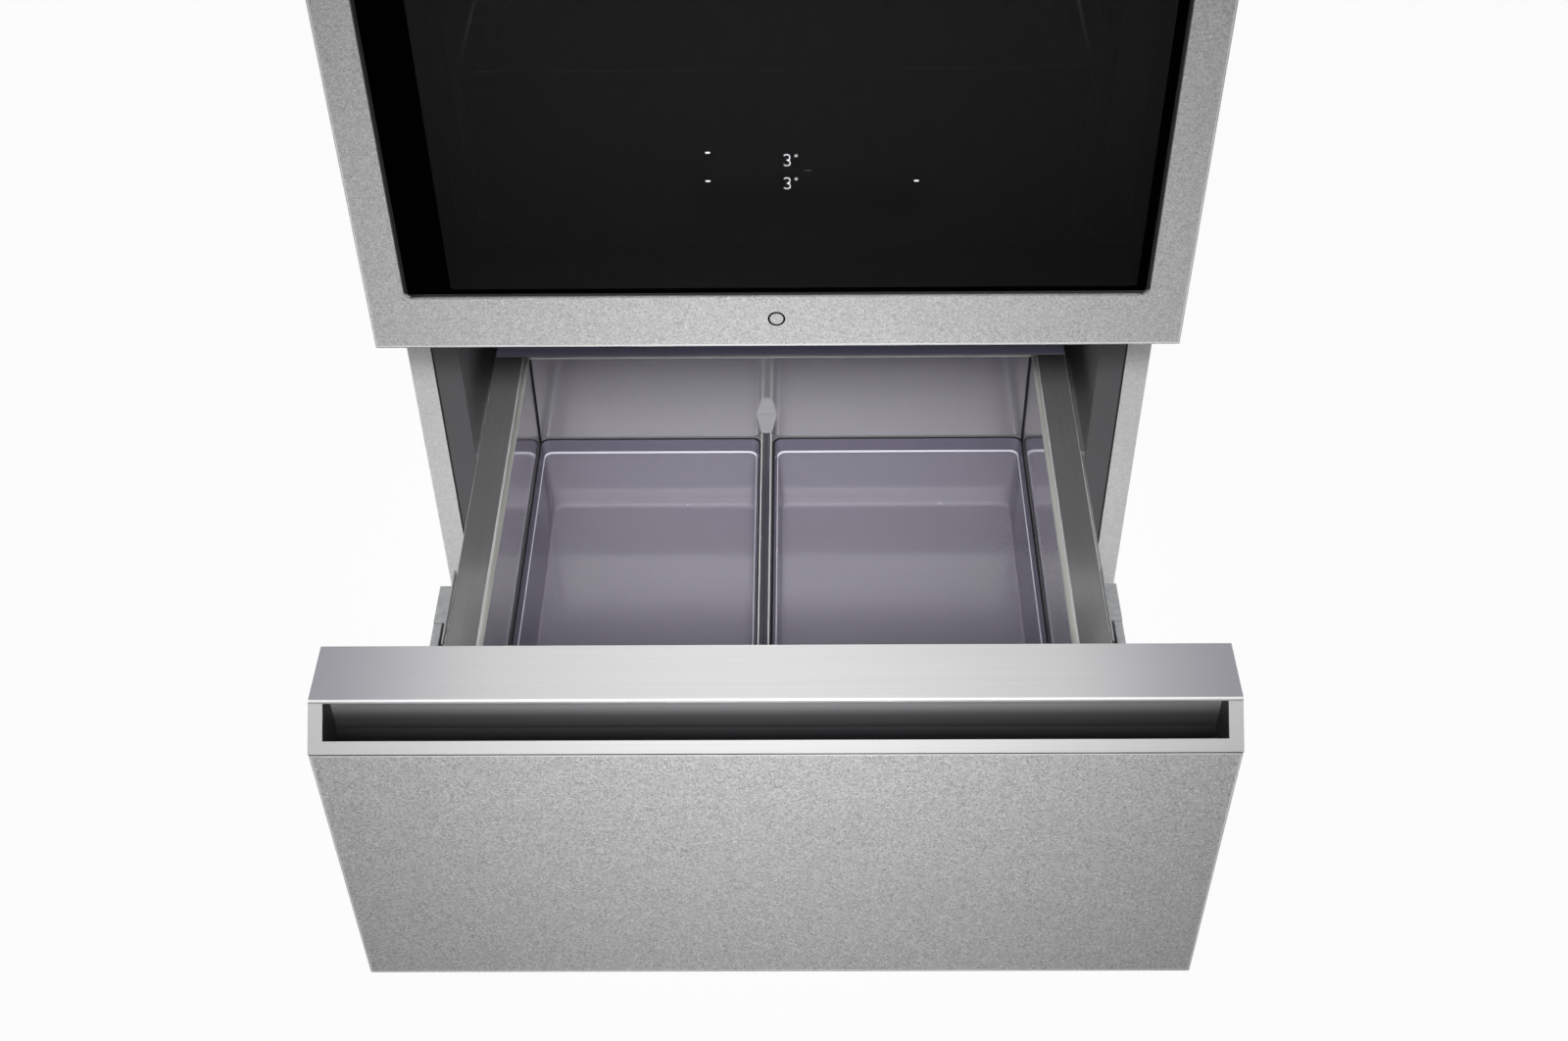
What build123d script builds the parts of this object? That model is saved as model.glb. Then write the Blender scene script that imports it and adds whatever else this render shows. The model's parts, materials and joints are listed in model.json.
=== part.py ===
from build123d import *
import math
import os

# A fridge freezer with one glass door above two pull-out drawers, in millimetres.
# X runs across, -Y is the front, +Z is up. The origin lies on the floor, under the
# middle of the whole object with its upper drawer pulled out.

# Cabinet and fronts
body_width = 696.0
front_overhang = 2.0
front_thickness = 84.0
gasket_room = 10.0
body_depth = 662.0
body_top = 1780.0
base_level = 28.0
side_wall = 48.0
top_wall = 48.0
front_overlap = 20.0
lowest_front = 60.0
drawer_front_height = 321.0
front_gap = 45.0
door_rise = 5.0

# Drawer travel
upper_drawer_pull = 394.0

# Sheets and walls
shell_sheet = 1.0
shell_bend = 4.0
liner_sheet = 1.5
liner_radius = 12.0
base_sheet = 1.5
back_sheet = 0.8
back_rib = 2.0
back_rib_width = 30.0
back_rib_count = 5
front_strip = 22.0
strip_groove = 2.0
fit_gap = 0.3
running_gap = 0.05

# Rooms inside, and what stays behind them
drawer_room_back = 176.0
cooling_room_depth = 85.0
fridge_room_back = 55.0
machine_room_depth = 140.0
machine_room_height = 242.0
duct_half_width = 100.0
duct_depth = 14.0

# Door
door_side_border = 33.0
door_foot_border = 52.0
door_window_radius = 7.5
door_window_hem = 4.5
skin = 1.0
skin_side_depth = 60.0
skin_foot_depth = 15.0
glass_recess = 1.2
glass_sheet = 4.0
glass_edge_gap = 1.5
door_view_border = 73.0
door_view_edge = 44.0
door_glass_seat = 4.0
inner_glass_depth = 70.0
inner_glass_rebate = 4.0
gasket_side_offset = 8.0
gasket_end_offset = 4.0
gasket_width = 14.0
drawer_gasket_offset = 11.5
drawer_gasket_width = 12.0
door_rim_gap = 14.0
door_rim_sheet = 16.0
door_rim_depth = 46.0
basket_gap = 6.0
basket_sheet = 2.5
basket_depth = 130.0
basket_corner = 8.0
basket_foot = 47.0
basket_head = 353.0
basket_heights = (171.0, 140.0, 110.0)
ring_height = 29.6
ring_radius = 6.7
ring_stroke = 1.8
ring_depth = 0.6
display_width = 190.0
display_height = 56.0
display_thickness = 5.0
display_foot = 96.0
display_shift = 30.0
grip_length = 140.0
grip_width = 28.0
grip_height = 20.0

# Hinges of the door
pin_radius = 5.0
pin_length = 16.0
pin_inset = 12.0
pin_depth = 50.0
hinge_sheet = 3.5
hinge_width = 46.0
hinge_reach = 70.0
cover_height = 13.0
cover_sheet = 1.5

# Drawer fronts
bevel_depth = 30.0
bevel_drop = 28.0
bevel_cut = 6.0
rail_sheet = 2.0
rail_tab = 12.0
rail_lip = 10.0
rail_top_lip = 3.0
recess_end = 11.0
recess_sheet = 1.5
recess_floor = 58.0
recess_back = 43.0
recess_roof = 8.0
front_plug_depth = 12.0
front_plug_side = 10.0
front_plug_foot = 26.0

# Drawer frame, box and bins
frame_drop = 95.0
slide_room = 20.5
frame_width = 27.5
frame_height = 120.0
frame_sheet = 1.5
box_front_gap = 4.0
box_floor_gap = 16.0
box_sheet = 0.8
box_hem = 4.5
box_side_gap = 0.5
rear_bar_depth = 19.5
rear_bar_height = 40.0
rear_bar_gap = 6.5
bin_rim_drop = 106.0
bin_sheet = 2.0
bin_flange = 3.0
bin_taper = 4.0
bin_corner = 8.0
bin_collar = 7.0
bin_collar_drop = 12.0
divider_width = 11.0
divider_shift = -14.0
divider_height = 112.0
divider_clip_width = 21.0
divider_clip_length = 26.0
divider_clip_sheet = 6.0
divider_clip_rise = 2.0

# Telescopic slides
slide_drop = 190.0
slide_height = 44.0
slide_sheet = 1.5
slide_start = 4.0
slide_back_gap = 22.0
bracket_start = 169.0
bracket_length = 43.0
bracket_width = 11.0
bracket_overlap = 10.0
bracket_rise = 5.0
bracket_block_width = 7.0
bracket_block_height = 20.0

# Fridge shelves
shelf_count = 3
shelf_pitch = 230.0
shelf_sheet = 4.0
shelf_start = 146.0
shelf_back_gap = 120.0
ledge_width = 8.0
ledge_height = 10.0
trim_height = 12.0
trim_depth = 14.0
lamp_width = 12.0
lamp_sheet = 3.0
lamp_start = 76.0
duct_cover_half_width = 150.0
duct_cover_depth = 60.0
duct_cover_sheet = 2.0
vent_length = 70.0
vent_height = 7.0

# Cooling parts
evaporator_width = 420.0
evaporator_height = 140.0
evaporator_depth = 60.0
fin_pitch = 42.0
fin_sheet = 1.0
coil_radius = 4.0
fan_motor_radius = 17.0
fan_motor_length = 24.0
fan_shaft_radius = 2.5
fan_blades = 5
room_fan_radius = 45.0
machine_fan_radius = 52.0
fan_tip_gap = 4.0
compressor_length = 190.0
compressor_width = 122.0
compressor_height = 150.0
compressor_foot = 16.0
condenser_pitch = 22.0
condenser_passes = 8
condenser_length = 110.0
condenser_depth = 26.0
condenser_sheet = 3.0
pan_length = 210.0
pan_width = 118.0
pan_height = 34.0
pan_sheet = 2.0
louvre_length = 105.0
louvre_height = 5.0
louvre_pitch = 14.0
control_width = 50.0
control_length = 108.0
control_height = 160.0
inlet_length = 31.0
inlet_height = 24.0
inlet_depth = 22.0
inlet_wall = 3.5
inlet_rise = 60.0

# Foot parts
kick_depth = 26.0
kick_foot = 10.0
kick_sheet = 2.0
foot_radius = 20.0
foot_pad = 10.0
foot_stud_radius = 5.0
foot_inset = 58.0
foot_depth = 36.0
roller_radius = 13.0
roller_width = 18.0
roller_shaft_radius = 4.0
roller_inset = 60.0
roller_back = 60.0

# Places that follow from the sizes
front_y = (upper_drawer_pull - front_thickness - gasket_room - body_depth) / 2
body_front = front_y + front_thickness + gasket_room
body_back = body_front + body_depth
front_back = front_y + front_thickness
drawer_room_depth = body_depth - drawer_room_back
fridge_room_depth = body_depth - fridge_room_back
slide_length = drawer_room_depth - slide_start - slide_back_gap
box_room = drawer_room_depth + gasket_room - front_plug_depth
box_length = box_room - box_front_gap - rear_bar_depth - rear_bar_gap
box_height = drawer_front_height - frame_drop - front_overlap - box_floor_gap
shelf_depth = body_depth - shelf_start - shelf_back_gap
half_body = body_width / 2
half_front = half_body + front_overhang
half_inside = half_body - shell_sheet
half_room = half_body - side_wall
frame_half_width = half_room - slide_room
liner_lip = side_wall - front_strip - strip_groove
foam_front = body_front + liner_sheet
foam_back = body_back - back_rib - back_sheet
base_top = base_level + base_sheet
machine_front = body_back - machine_room_depth
machine_top = base_level + machine_room_height
front_step = drawer_front_height + front_gap
door_bottom = lowest_front + 2 * front_step
door_top = body_top + door_rise
upper_basket_floor = door_top - door_bottom - basket_head
basket_between = (upper_basket_floor - basket_foot - basket_heights[0] - basket_heights[1]) / 2
middle_basket_floor = basket_foot + basket_heights[0] + basket_between
basket_floors = (basket_foot, middle_basket_floor, upper_basket_floor)
fridge_floor = door_bottom + front_overlap
fridge_ceiling = body_top - top_wall
pin_x = half_front - pin_inset
pin_y = front_y + pin_depth


def block(x, y, z):
    """Box between two corners, each argument a (low, high) pair."""
    size = Box(x[1] - x[0], y[1] - y[0], z[1] - z[0])
    return Pos((x[0] + x[1]) / 2, (y[0] + y[1]) / 2, (z[0] + z[1]) / 2) * size


def prism_x(points, low, high):
    """Outline of (y, z) points, extruded across."""
    face = make_face(Polyline(*points, close=True))
    plane = Plane(origin=(low, 0, 0), x_dir=(0, 1, 0), z_dir=(1, 0, 0))
    return extrude(plane * face, amount=high - low)


def prism_y(points, low, high):
    """Outline of (x, z) points, extruded to the back."""
    face = make_face(Polyline(*points, close=True))
    plane = Plane(origin=(0, high, 0), x_dir=(1, 0, 0), z_dir=(0, -1, 0))
    return extrude(plane * face, amount=high - low)


def cut_rectangle(width, length, corner, z):
    """Corner points of a rectangle whose corners are cut, about the Z axis."""
    x = width / 2
    y = length / 2
    quarter = [(x, y - corner), (x - corner, y)]
    half = quarter + [(-a, b) for a, b in reversed(quarter)]
    return [(a, b, z) for a, b in half + [(-a, -b) for a, b in half]]


def frustum(low, high):
    """Solid between two outlines with equally many corners, its sides flat."""
    count = len(low)
    faces = [Face(Wire.make_polygon(outline)) for outline in (low, high)]
    for index in range(count):
        after = (index + 1) % count
        faces.append(Face(Wire.make_polygon([low[index], low[after], high[after], high[index]])))
    return Solid(Shell(faces))


def rod(center, direction, radius, length):
    """Cylinder from a point along a direction."""
    plane = Plane(origin=center, z_dir=direction)
    return extrude(plane * Circle(radius), amount=length)


def both_sides(piece):
    """A right-hand piece and its mirror image, as separate solids."""
    return [piece, mirror(piece, about=Plane.YZ)]


def save(name, *pieces):
    """Writes one node, whose pieces stay separate solids."""
    solids = [solid for piece in pieces for solid in piece.solids()]
    export_step(Compound(label=name, children=solids), f"parts/{name}.step")


# Cabinet

def room_plug(floor, ceiling, depth, grow):
    """The space of a room, grown by a wall, open through the cabinet's front."""
    half = half_room + grow
    plug = block((-half, half), (body_front - grow, body_front + depth + grow), (floor - grow, ceiling + grow))
    plug = fillet(plug.edges().filter_by(Axis.Y), liner_radius + grow)
    return plug


def room_liner(floor, ceiling, depth):
    """Vacuum-formed liner of one room, with its lip round the mouth."""
    lip = block(
        (-half_room - liner_lip, half_room + liner_lip),
        (body_front, foam_front),
        (floor - liner_lip, ceiling + liner_lip),
    )
    wall = room_plug(floor, ceiling, depth, liner_sheet) - block(
        (-half_body, half_body), (body_front - 2 * liner_sheet, body_front), (0, body_top)
    )
    inside = room_plug(floor, ceiling, depth, 0)
    inside += Pos(0, -2 * liner_sheet, 0) * room_plug(floor, ceiling, depth, 0)
    return lip + wall - inside


def drawer_room(index):
    """Floor and ceiling of a drawer's room, 0 for the lower drawer."""
    foot = lowest_front + index * front_step
    return foot + front_overlap, foot + drawer_front_height - front_overlap


def duct_hole(low, high):
    """Air duct that joins the cooling room to the fridge."""
    back = body_front + drawer_room_depth + cooling_room_depth - liner_sheet
    return block((-duct_half_width, duct_half_width), (back - duct_depth, back), (low, high))


def cabinet_shell():
    """One folded steel sheet: sides, top and the strips round the front."""
    outer = block((-half_body, half_body), (body_front, body_back), (base_level, body_top))
    outer = fillet(outer.edges().filter_by(Axis.Y).group_by(Axis.Z)[-1], shell_bend)
    inner = block(
        (-half_inside, half_inside), (body_front + shell_sheet, body_back + 1), (0, body_top - shell_sheet)
    )
    inner = fillet(inner.edges().filter_by(Axis.Y).group_by(Axis.Z)[-1], shell_bend - shell_sheet)
    half_mouth = half_body - front_strip
    mouth = block((-half_mouth, half_mouth), (body_front - 1, body_front + 2), (0, body_top - front_strip))
    return outer - inner - mouth


def back_panel():
    """Thin back sheet with pressed upright beads."""
    step = 2 * half_inside / back_rib_count
    slope = back_rib * 2
    outer_line = []
    for bead in range(back_rib_count):
        middle = -half_inside + (bead + 0.5) * step
        half = back_rib_width / 2
        outer_line += [
            (middle - half - slope, 0),
            (middle - half, back_rib),
            (middle + half, back_rib),
            (middle + half + slope, 0),
        ]
    line = [(-half_inside, 0)] + outer_line + [(half_inside, 0)]
    inner_edge = [(x, foam_back + y) for x, y in line]
    outer_edge = [(x, foam_back + y + back_sheet) for x, y in reversed(line)]
    face = make_face(Polyline(*inner_edge, *outer_edge, close=True))
    height = body_top - shell_sheet - shell_bend - machine_top
    return extrude(Pos(0, 0, machine_top) * face, amount=height)


def foam_body(plugs):
    """Rigid foam between shell and liners, in one piece."""
    foam = block((-half_inside, half_inside), (foam_front, foam_back), (base_top, body_top - shell_sheet))
    foam = fillet(foam.edges().filter_by(Axis.Y).group_by(Axis.Z)[-1], shell_bend - shell_sheet)
    for plug in plugs:
        foam -= plug
    for low, high in (mullion_span(0), mullion_span(1)):
        slot_half = half_room + liner_sheet
        slot_back = body_front + drawer_room_depth + liner_sheet
        foam -= block((-slot_half, slot_half), (body_front, slot_back), (low, high))
    machine_room = block((-half_body, half_body), (machine_front, body_back), (0, machine_top))
    return foam - machine_room - duct_hole(mullion_span(1)[0] - 1, mullion_span(1)[1] + 1)


def mullion_span(index):
    """Foot and top of the mullion above a drawer, 0 for the lower drawer."""
    low = drawer_room(index)[1] + liner_sheet
    above = fridge_floor if index == 1 else drawer_room(index + 1)[0]
    return low, above - liner_sheet


def mullion(index, plugs):
    """Insulated bar between two rooms, with the raised strip that the gaskets meet."""
    low, high = mullion_span(index)
    half = half_room + liner_sheet
    back = body_front + drawer_room_depth + liner_sheet
    bar = block((-half, half), (foam_front, back), (low, high))
    edge = liner_lip + strip_groove - liner_sheet
    reach = half_body - front_strip
    strip = block((-reach, reach), (body_front, foam_front), (low + edge, high - edge))
    bar += strip
    for plug in plugs:
        bar -= plug
    return bar


def base_frame():
    """Steel tray with the lined machine room, roller ears and foot bosses."""
    tray = block((-half_inside, half_inside), (body_front + shell_sheet, foam_back), (base_level, base_top))
    flange_half = half_body - front_strip - strip_groove
    flange_top = drawer_room(0)[0] - liner_lip - strip_groove
    tray += block((-flange_half, flange_half), (body_front, foam_front), (base_level, flange_top))
    room = block((-half_inside, half_inside), (machine_front, foam_back), (base_level, machine_top))
    room -= block(
        (-half_inside + base_sheet, half_inside - base_sheet),
        (machine_front + base_sheet, body_back),
        (base_top, machine_top - base_sheet),
    )
    tray += room
    for side in (-1, 1):
        x = side * (half_body - foot_inset)
        y = body_front + foot_depth
        boss = foot_stud_radius * 2
        tray += block((x - boss, x + boss), (y - boss, y + boss), (base_level - foot_pad, base_level))
        tray -= rod((x, y, 0), (0, 0, 1), foot_stud_radius + running_gap, base_top)
        tray += roller_ear(side * (half_body - roller_inset - roller_width / 2 - 2))
    return tray


def roller_ear(x):
    """Lug that carries the roller shaft."""
    y = body_back - roller_back
    half = base_sheet
    top_width = 2.2 * roller_radius
    foot_width = 2 * roller_shaft_radius + 6
    foot = roller_radius - roller_shaft_radius - 3
    outline = [
        (y - top_width / 2, base_level),
        (y - foot_width / 2, foot),
        (y + foot_width / 2, foot),
        (y + top_width / 2, base_level),
    ]
    ear = prism_x(outline, x - half / 2, x + half / 2)
    return ear - rod((x - half, y, roller_radius), (1, 0, 0), roller_shaft_radius + running_gap, 2 * half)


def rear_rollers():
    """Two rollers on one shaft."""
    y = body_back - roller_back
    reach = half_body - roller_inset
    pair = rod((-reach, y, roller_radius), (1, 0, 0), roller_shaft_radius, 2 * reach)
    inner = half_body - roller_inset - roller_width / 2 - 2 - base_sheet
    sleeve = Plane(origin=(-inner, y, roller_radius), x_dir=(0, 1, 0), z_dir=(1, 0, 0))
    pair += extrude(sleeve * RegularPolygon(roller_shaft_radius + 1, 8), amount=2 * inner)
    for side in (-1, 1):
        x = side * (half_body - roller_inset) - roller_width / 2
        plane = Plane(origin=(x, y, roller_radius), x_dir=(0, 1, 0), z_dir=(1, 0, 0))
        pair += extrude(plane * RegularPolygon(roller_radius, 16), amount=roller_width)
    return pair


def levelling_foot(side):
    """Screw foot with its faceted pad on the floor."""
    place = Pos(side * (half_body - foot_inset), body_front + foot_depth, 0)
    pad = extrude(RegularPolygon(foot_radius, 16), amount=foot_pad)
    slope = foot_radius - foot_stud_radius - 4
    pad = chamfer(pad.edges().group_by(Axis.Z)[-1], foot_pad * 0.4, slope)
    shoulder = base_level - foot_pad - fit_gap
    pad += extrude(RegularPolygon(foot_stud_radius + 4, 8), amount=shoulder)
    pad += rod((0, 0, shoulder), (0, 0, 1), foot_stud_radius, base_top - fit_gap - shoulder)
    return place * pad


def kick_plate():
    """Plinth with air slots, fixed to the tray's front flange."""
    half = half_body - front_strip / 2
    top = lowest_front - 4
    plate = block((-half, half), (body_front - kick_depth, body_front), (kick_foot, top))
    plate -= block(
        (-half + kick_sheet, half - kick_sheet),
        (body_front - kick_depth + kick_sheet, body_front + 1),
        (kick_foot - 1, top - kick_sheet),
    )
    middle = (kick_foot + top) / 2
    step = louvre_length * 1.15
    rise = louvre_pitch * 0.6
    slots = [(column * step, middle + row * rise) for column in (-2, -1, 0, 1, 2) for row in (-1, 1)]
    for x, z in slots:
        plate -= block(
            (x - louvre_length / 2, x + louvre_length / 2),
            (body_front - kick_depth - 1, body_front - kick_depth + kick_sheet + 1),
            (z - louvre_height / 2, z + louvre_height / 2),
        )
    return plate


# Fridge room

def shelf_levels():
    """Heights of the shelves' glass."""
    return [fridge_floor + (index + 1) * shelf_pitch for index in range(shelf_count)]


def fridge_liner():
    """Liner of the fridge with the moulded ledges for the shelves."""
    liner = room_liner(fridge_floor, fridge_ceiling, fridge_room_depth)
    start = body_front + shelf_start
    for level in shelf_levels():
        ledge = [
            (half_room + liner_sheet / 2, level - ledge_height - ledge_width),
            (half_room - ledge_width, level - ledge_height),
            (half_room - ledge_width, level),
            (half_room + liner_sheet / 2, level),
        ]
        for piece in both_sides(prism_y(ledge, start, start + shelf_depth)):
            liner += piece
    return liner - duct_hole(fridge_floor - 2 * liner_sheet, fridge_floor + liner_sheet)


def glass_shelf(level):
    """Tempered glass plate with rounded corners."""
    half = half_room - fit_gap * 4
    start = body_front + shelf_start
    plate = block((-half, half), (start, start + shelf_depth), (level, level + shelf_sheet))
    return chamfer(plate.edges().filter_by(Axis.Z), 6)


def shelf_trim(level):
    """Front and rear edge profiles that clasp the glass."""
    half = half_room - ledge_width - fit_gap
    start = body_front + shelf_start
    end = start + shelf_depth
    wall = (trim_height - shelf_sheet) / 2
    low = level - wall
    high = level + shelf_sheet + wall
    front = [
        (start - wall, low + wall),
        (start - wall, high - wall),
        (start, high),
        (start + trim_depth, high),
        (start + trim_depth, level + shelf_sheet),
        (start, level + shelf_sheet),
        (start, level),
        (start + trim_depth, level),
        (start + trim_depth, low),
        (start, low),
    ]
    rear = [
        (end + wall, low),
        (end + wall, high + trim_height),
        (end, high + trim_height),
        (end - trim_depth, level + shelf_sheet),
        (end, level + shelf_sheet),
        (end, level),
        (end - trim_depth, level),
        (end - trim_depth, low),
    ]
    return [prism_x(front, -half, half), prism_x(rear, -half, half)]


def light_strip():
    """Upright lamp strip on the right wall."""
    start = body_front + lamp_start
    strip = block(
        (half_room - lamp_sheet, half_room),
        (start, start + lamp_width),
        (fridge_floor + shelf_pitch / 3, fridge_ceiling - shelf_pitch / 3),
    )
    return chamfer(strip.edges().filter_by(Axis.Z).group_by(Axis.X)[0], lamp_sheet / 2)


def duct_cover():
    """Hollow air column on the fridge's back wall, with vents at every shelf."""
    back = body_front + fridge_room_depth
    half = duct_cover_half_width
    high = fridge_ceiling - top_wall
    cover = block((-half, half), (back - duct_cover_depth, back), (fridge_floor, high))
    cover = fillet(cover.edges().filter_by(Axis.Z).group_by(Axis.Y)[0], liner_radius)
    hollow = block(
        (-half + duct_cover_sheet, half - duct_cover_sheet),
        (back - duct_cover_depth + duct_cover_sheet, back + 1),
        (fridge_floor - 1, high - duct_cover_sheet),
    )
    hollow = fillet(hollow.edges().filter_by(Axis.Z).group_by(Axis.Y)[0], liner_radius - duct_cover_sheet)
    cover -= hollow
    for level in shelf_levels():
        z = level - shelf_pitch / 3
        for side in (-1, 1):
            x = side * half / 2
            cover -= block(
                (x - vent_length / 2, x + vent_length / 2),
                (back - duct_cover_depth - 1, back - duct_cover_depth + duct_cover_sheet + 1),
                (z, z + vent_height),
            )
    return cover


# Cooling parts

def fan_rotor(radius, plane):
    """Axial fan: a hub with pitched, folded blades, its bore on the plane's axis."""
    hub_radius = fan_motor_radius + 2
    hub_length = fan_motor_length * 0.7
    rotor = extrude(RegularPolygon(hub_radius, 2 * fan_blades), amount=hub_length)
    rotor -= Pos(0, 0, -1) * Cylinder(
        fan_shaft_radius + running_gap, hub_length * 0.8 + 1, align=(Align.CENTER, Align.CENTER, Align.MIN)
    )
    chord = hub_radius * 1.5
    sheet = 1.6
    camber = chord * 0.12
    section = make_face(
        Polyline(
            (-chord / 2, 0),
            (0, camber),
            (chord / 2, 0),
            (chord / 2, -sheet),
            (0, camber - sheet),
            (-chord / 2, -sheet),
            close=True,
        )
    )
    root = Plane(origin=(hub_radius - 4, 0, hub_length / 2), x_dir=(0, 1, 0), z_dir=(1, 0, 0))
    blade = extrude(root * Rot(0, 0, 28) * section, amount=radius - hub_radius + 4)
    blade &= extrude(RegularPolygon(radius, 4 * fan_blades), amount=2 * hub_length, both=True)
    for turn in range(fan_blades):
        rotor += Rot(0, 0, (turn + 0.25) * 360 / fan_blades) * blade
    return plane.location * rotor


def fan_motor(plane):
    """Motor can with the shaft that the rotor turns on, and three arms round it."""
    rise = fit_gap
    motor = extrude(Pos(0, 0, -rise) * RegularPolygon(fan_motor_radius, 12), amount=-fan_motor_length)
    motor += Pos(0, 0, -rise - 1) * Cylinder(
        fan_shaft_radius, fan_motor_length * 0.5 + 1, align=(Align.CENTER, Align.CENTER, Align.MIN)
    )
    return plane.location * motor


def fan_ring(plane, opening, front, back):
    """Faceted ring round a fan and the hole through it, along the fan's axis."""
    outline = RegularPolygon(opening + 2.5, 24, major_radius=False)
    hole = RegularPolygon(opening, 24, major_radius=False)
    ring = extrude(Pos(0, 0, front) * outline, amount=back - front)
    bore = extrude(Pos(0, 0, front - 1) * hole, amount=back - front + 2)
    return plane.location * ring, plane.location * bore


def motor_arms(plane, reach, depth):
    """Three flat arms from a fan opening to its motor."""
    arms = None
    for turn in range(3):
        arm = Rot(0, 0, turn * 120 + 90) * Pos(fan_motor_radius - 1, 0, -depth) * Box(
            reach - fan_motor_radius + 2, 6, 3, align=(Align.MIN, Align.CENTER, Align.MIN)
        )
        arms = arm if arms is None else arms + arm
    return plane.location * arms


def room_fan_plane():
    """Axis of the cooling room's fan, pointing to the front."""
    cover_back = body_front + drawer_room_depth + 3
    z = drawer_room(1)[1] - room_fan_radius - fan_tip_gap - 16
    return Plane(origin=(0, cover_back + 14, z), x_dir=(1, 0, 0), z_dir=(0, -1, 0))


def evaporator_cover():
    """Back wall of the upper drawer's room, with intake slots and the fan's ring."""
    floor, ceiling = drawer_room(1)
    front = body_front + drawer_room_depth
    half = half_room - fit_gap
    cover = block((-half, half), (front, front + 3), (floor + fit_gap, ceiling - fit_gap))
    cover = chamfer(cover.edges().filter_by(Axis.Y), liner_radius)
    plane = room_fan_plane()
    opening = room_fan_radius + fan_tip_gap
    face = plane.origin.Y - front
    ring, bore = fan_ring(plane, opening, face - 24, face)
    cover = cover + ring - bore
    for column in (-2, -1, 0, 1, 2):
        x = column * louvre_length
        cover -= block((x - 40, x + 40), (front - 1, front + 4), (floor + 14, floor + 22))
    arms = motor_arms(plane, opening + 1.5, 6 + fit_gap)
    return cover + arms + fan_motor(plane)


def half_ring(center, inner, outer, side, steps):
    """Outline of a half ring that opens to the left or right, with straight facets."""
    angles = [math.pi * (step / steps - 0.5) for step in range(steps + 1)]
    away = [(side * outer * math.cos(turn), outer * math.sin(turn)) for turn in angles]
    back = [(side * inner * math.cos(turn), inner * math.sin(turn)) for turn in reversed(angles)]
    return [(center[0] + across, center[1] + rise) for across, rise in away + back]


def evaporator():
    """Fin pack with its return bends, against the back of the cooling room."""
    floor = drawer_room(1)[0] + 8
    back = body_front + drawer_room_depth + cooling_room_depth
    middle = back - evaporator_depth / 2
    high = floor + evaporator_height
    half = evaporator_width / 2
    pack = block((-half, half), (middle - fin_sheet, middle + fin_sheet), (floor, high))
    for index in range(int(evaporator_width / fin_pitch) + 1):
        x = -half + index * fin_pitch
        pack += block((x, x + fin_sheet), (back - evaporator_depth, back), (floor, high))
    bend = coil_radius * 3
    for row in range(3):
        center = (half, floor + evaporator_height * (0.22 + 0.28 * row))
        outline = half_ring(center, bend - coil_radius, bend + coil_radius, 1, 4)
        loop = prism_y(outline, middle - coil_radius, middle + coil_radius)
        pack += [loop, mirror(loop, about=Plane.YZ)]
    return pack


def machine_middle():
    """Middle of the machine room, front to back."""
    return (machine_front + base_sheet + foam_back) / 2


def can_outline(inset):
    """Oblong outline with five flats round each end."""
    radius = compressor_width / 2 - inset
    reach = (compressor_length - compressor_width) / 2
    angles = [math.pi * (step / 5 - 0.5) for step in range(6)]
    right = [(reach + radius * math.cos(turn), radius * math.sin(turn)) for turn in angles]
    return right + [(-x, -y) for x, y in right]


def compressor():
    """Hermetic compressor: welded can on a foot plate with rubber feet."""
    place = Pos(-half_inside * 0.55, machine_middle(), base_top)
    can = extrude(make_face(Polyline(*can_outline(0), close=True)), amount=compressor_height)
    can = chamfer(can.edges().group_by(Axis.Z)[-1], compressor_height * 0.2, 20)
    can = chamfer(can.edges().group_by(Axis.Z)[0], compressor_height * 0.12, 14)
    seam = extrude(make_face(Polyline(*can_outline(-4), close=True)), amount=5)
    can = Pos(0, 0, compressor_foot) * (can + Pos(0, 0, compressor_height * 0.45) * seam)
    can += Pos(0, 0, compressor_foot - 3) * Box(
        compressor_length + 16, compressor_width * 0.9, 6, align=(Align.CENTER, Align.CENTER, Align.MIN)
    )
    for corner in GridLocations(compressor_length - 6, compressor_width * 0.62, 2, 2):
        can += extrude(corner * RegularPolygon(11, 6), amount=compressor_foot)
    return place * can


def compressor_top():
    """Height of the can's top."""
    return base_top + compressor_foot + compressor_height


def drain_pan():
    """Shallow tapered tray that rests on the warm compressor."""
    place = Pos(-half_inside * 0.55, machine_middle(), compressor_top())
    corner = pan_width / 12
    narrower = pan_height / 3
    wall = pan_sheet
    low = cut_rectangle(pan_length - narrower, pan_width - narrower, corner, 0)
    high = cut_rectangle(pan_length, pan_width, corner, pan_height)
    low_inside = cut_rectangle(
        pan_length - narrower - 2 * wall, pan_width - narrower - 2 * wall, corner - wall / 2, wall
    )
    high_inside = cut_rectangle(
        pan_length - 2 * wall, pan_width - 2 * wall, corner - wall / 2, pan_height + 0.01
    )
    return place * (frustum(low, high) - frustum(low_inside, high_inside))


def condenser():
    """Flat tube folded back and forth, on two foot brackets."""
    x = half_inside * 0.36
    half = condenser_length / 2
    middle = machine_middle()
    foot = base_top + 10
    wall = condenser_sheet
    bend = condenser_pitch / 2
    tube = None
    for turn in range(condenser_passes):
        z = foot + turn * condenser_pitch
        run = block((x, x + condenser_depth), (middle - half, middle + half), (z, z + wall))
        tube = run if tube is None else tube + run
        if turn < condenser_passes - 1:
            side = 1 if turn % 2 == 0 else -1
            center = (middle + side * half, z + wall / 2 + bend)
            outline = half_ring(center, bend - wall / 2, bend + wall / 2, side, 4)
            tube += prism_x(outline, x, x + condenser_depth)
    for side in (-1, 1):
        y = middle + side * half * 0.7
        tube += block((x, x + condenser_depth), (y - 6, y + 6), (base_top, foot + wall))
    return tube


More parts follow.
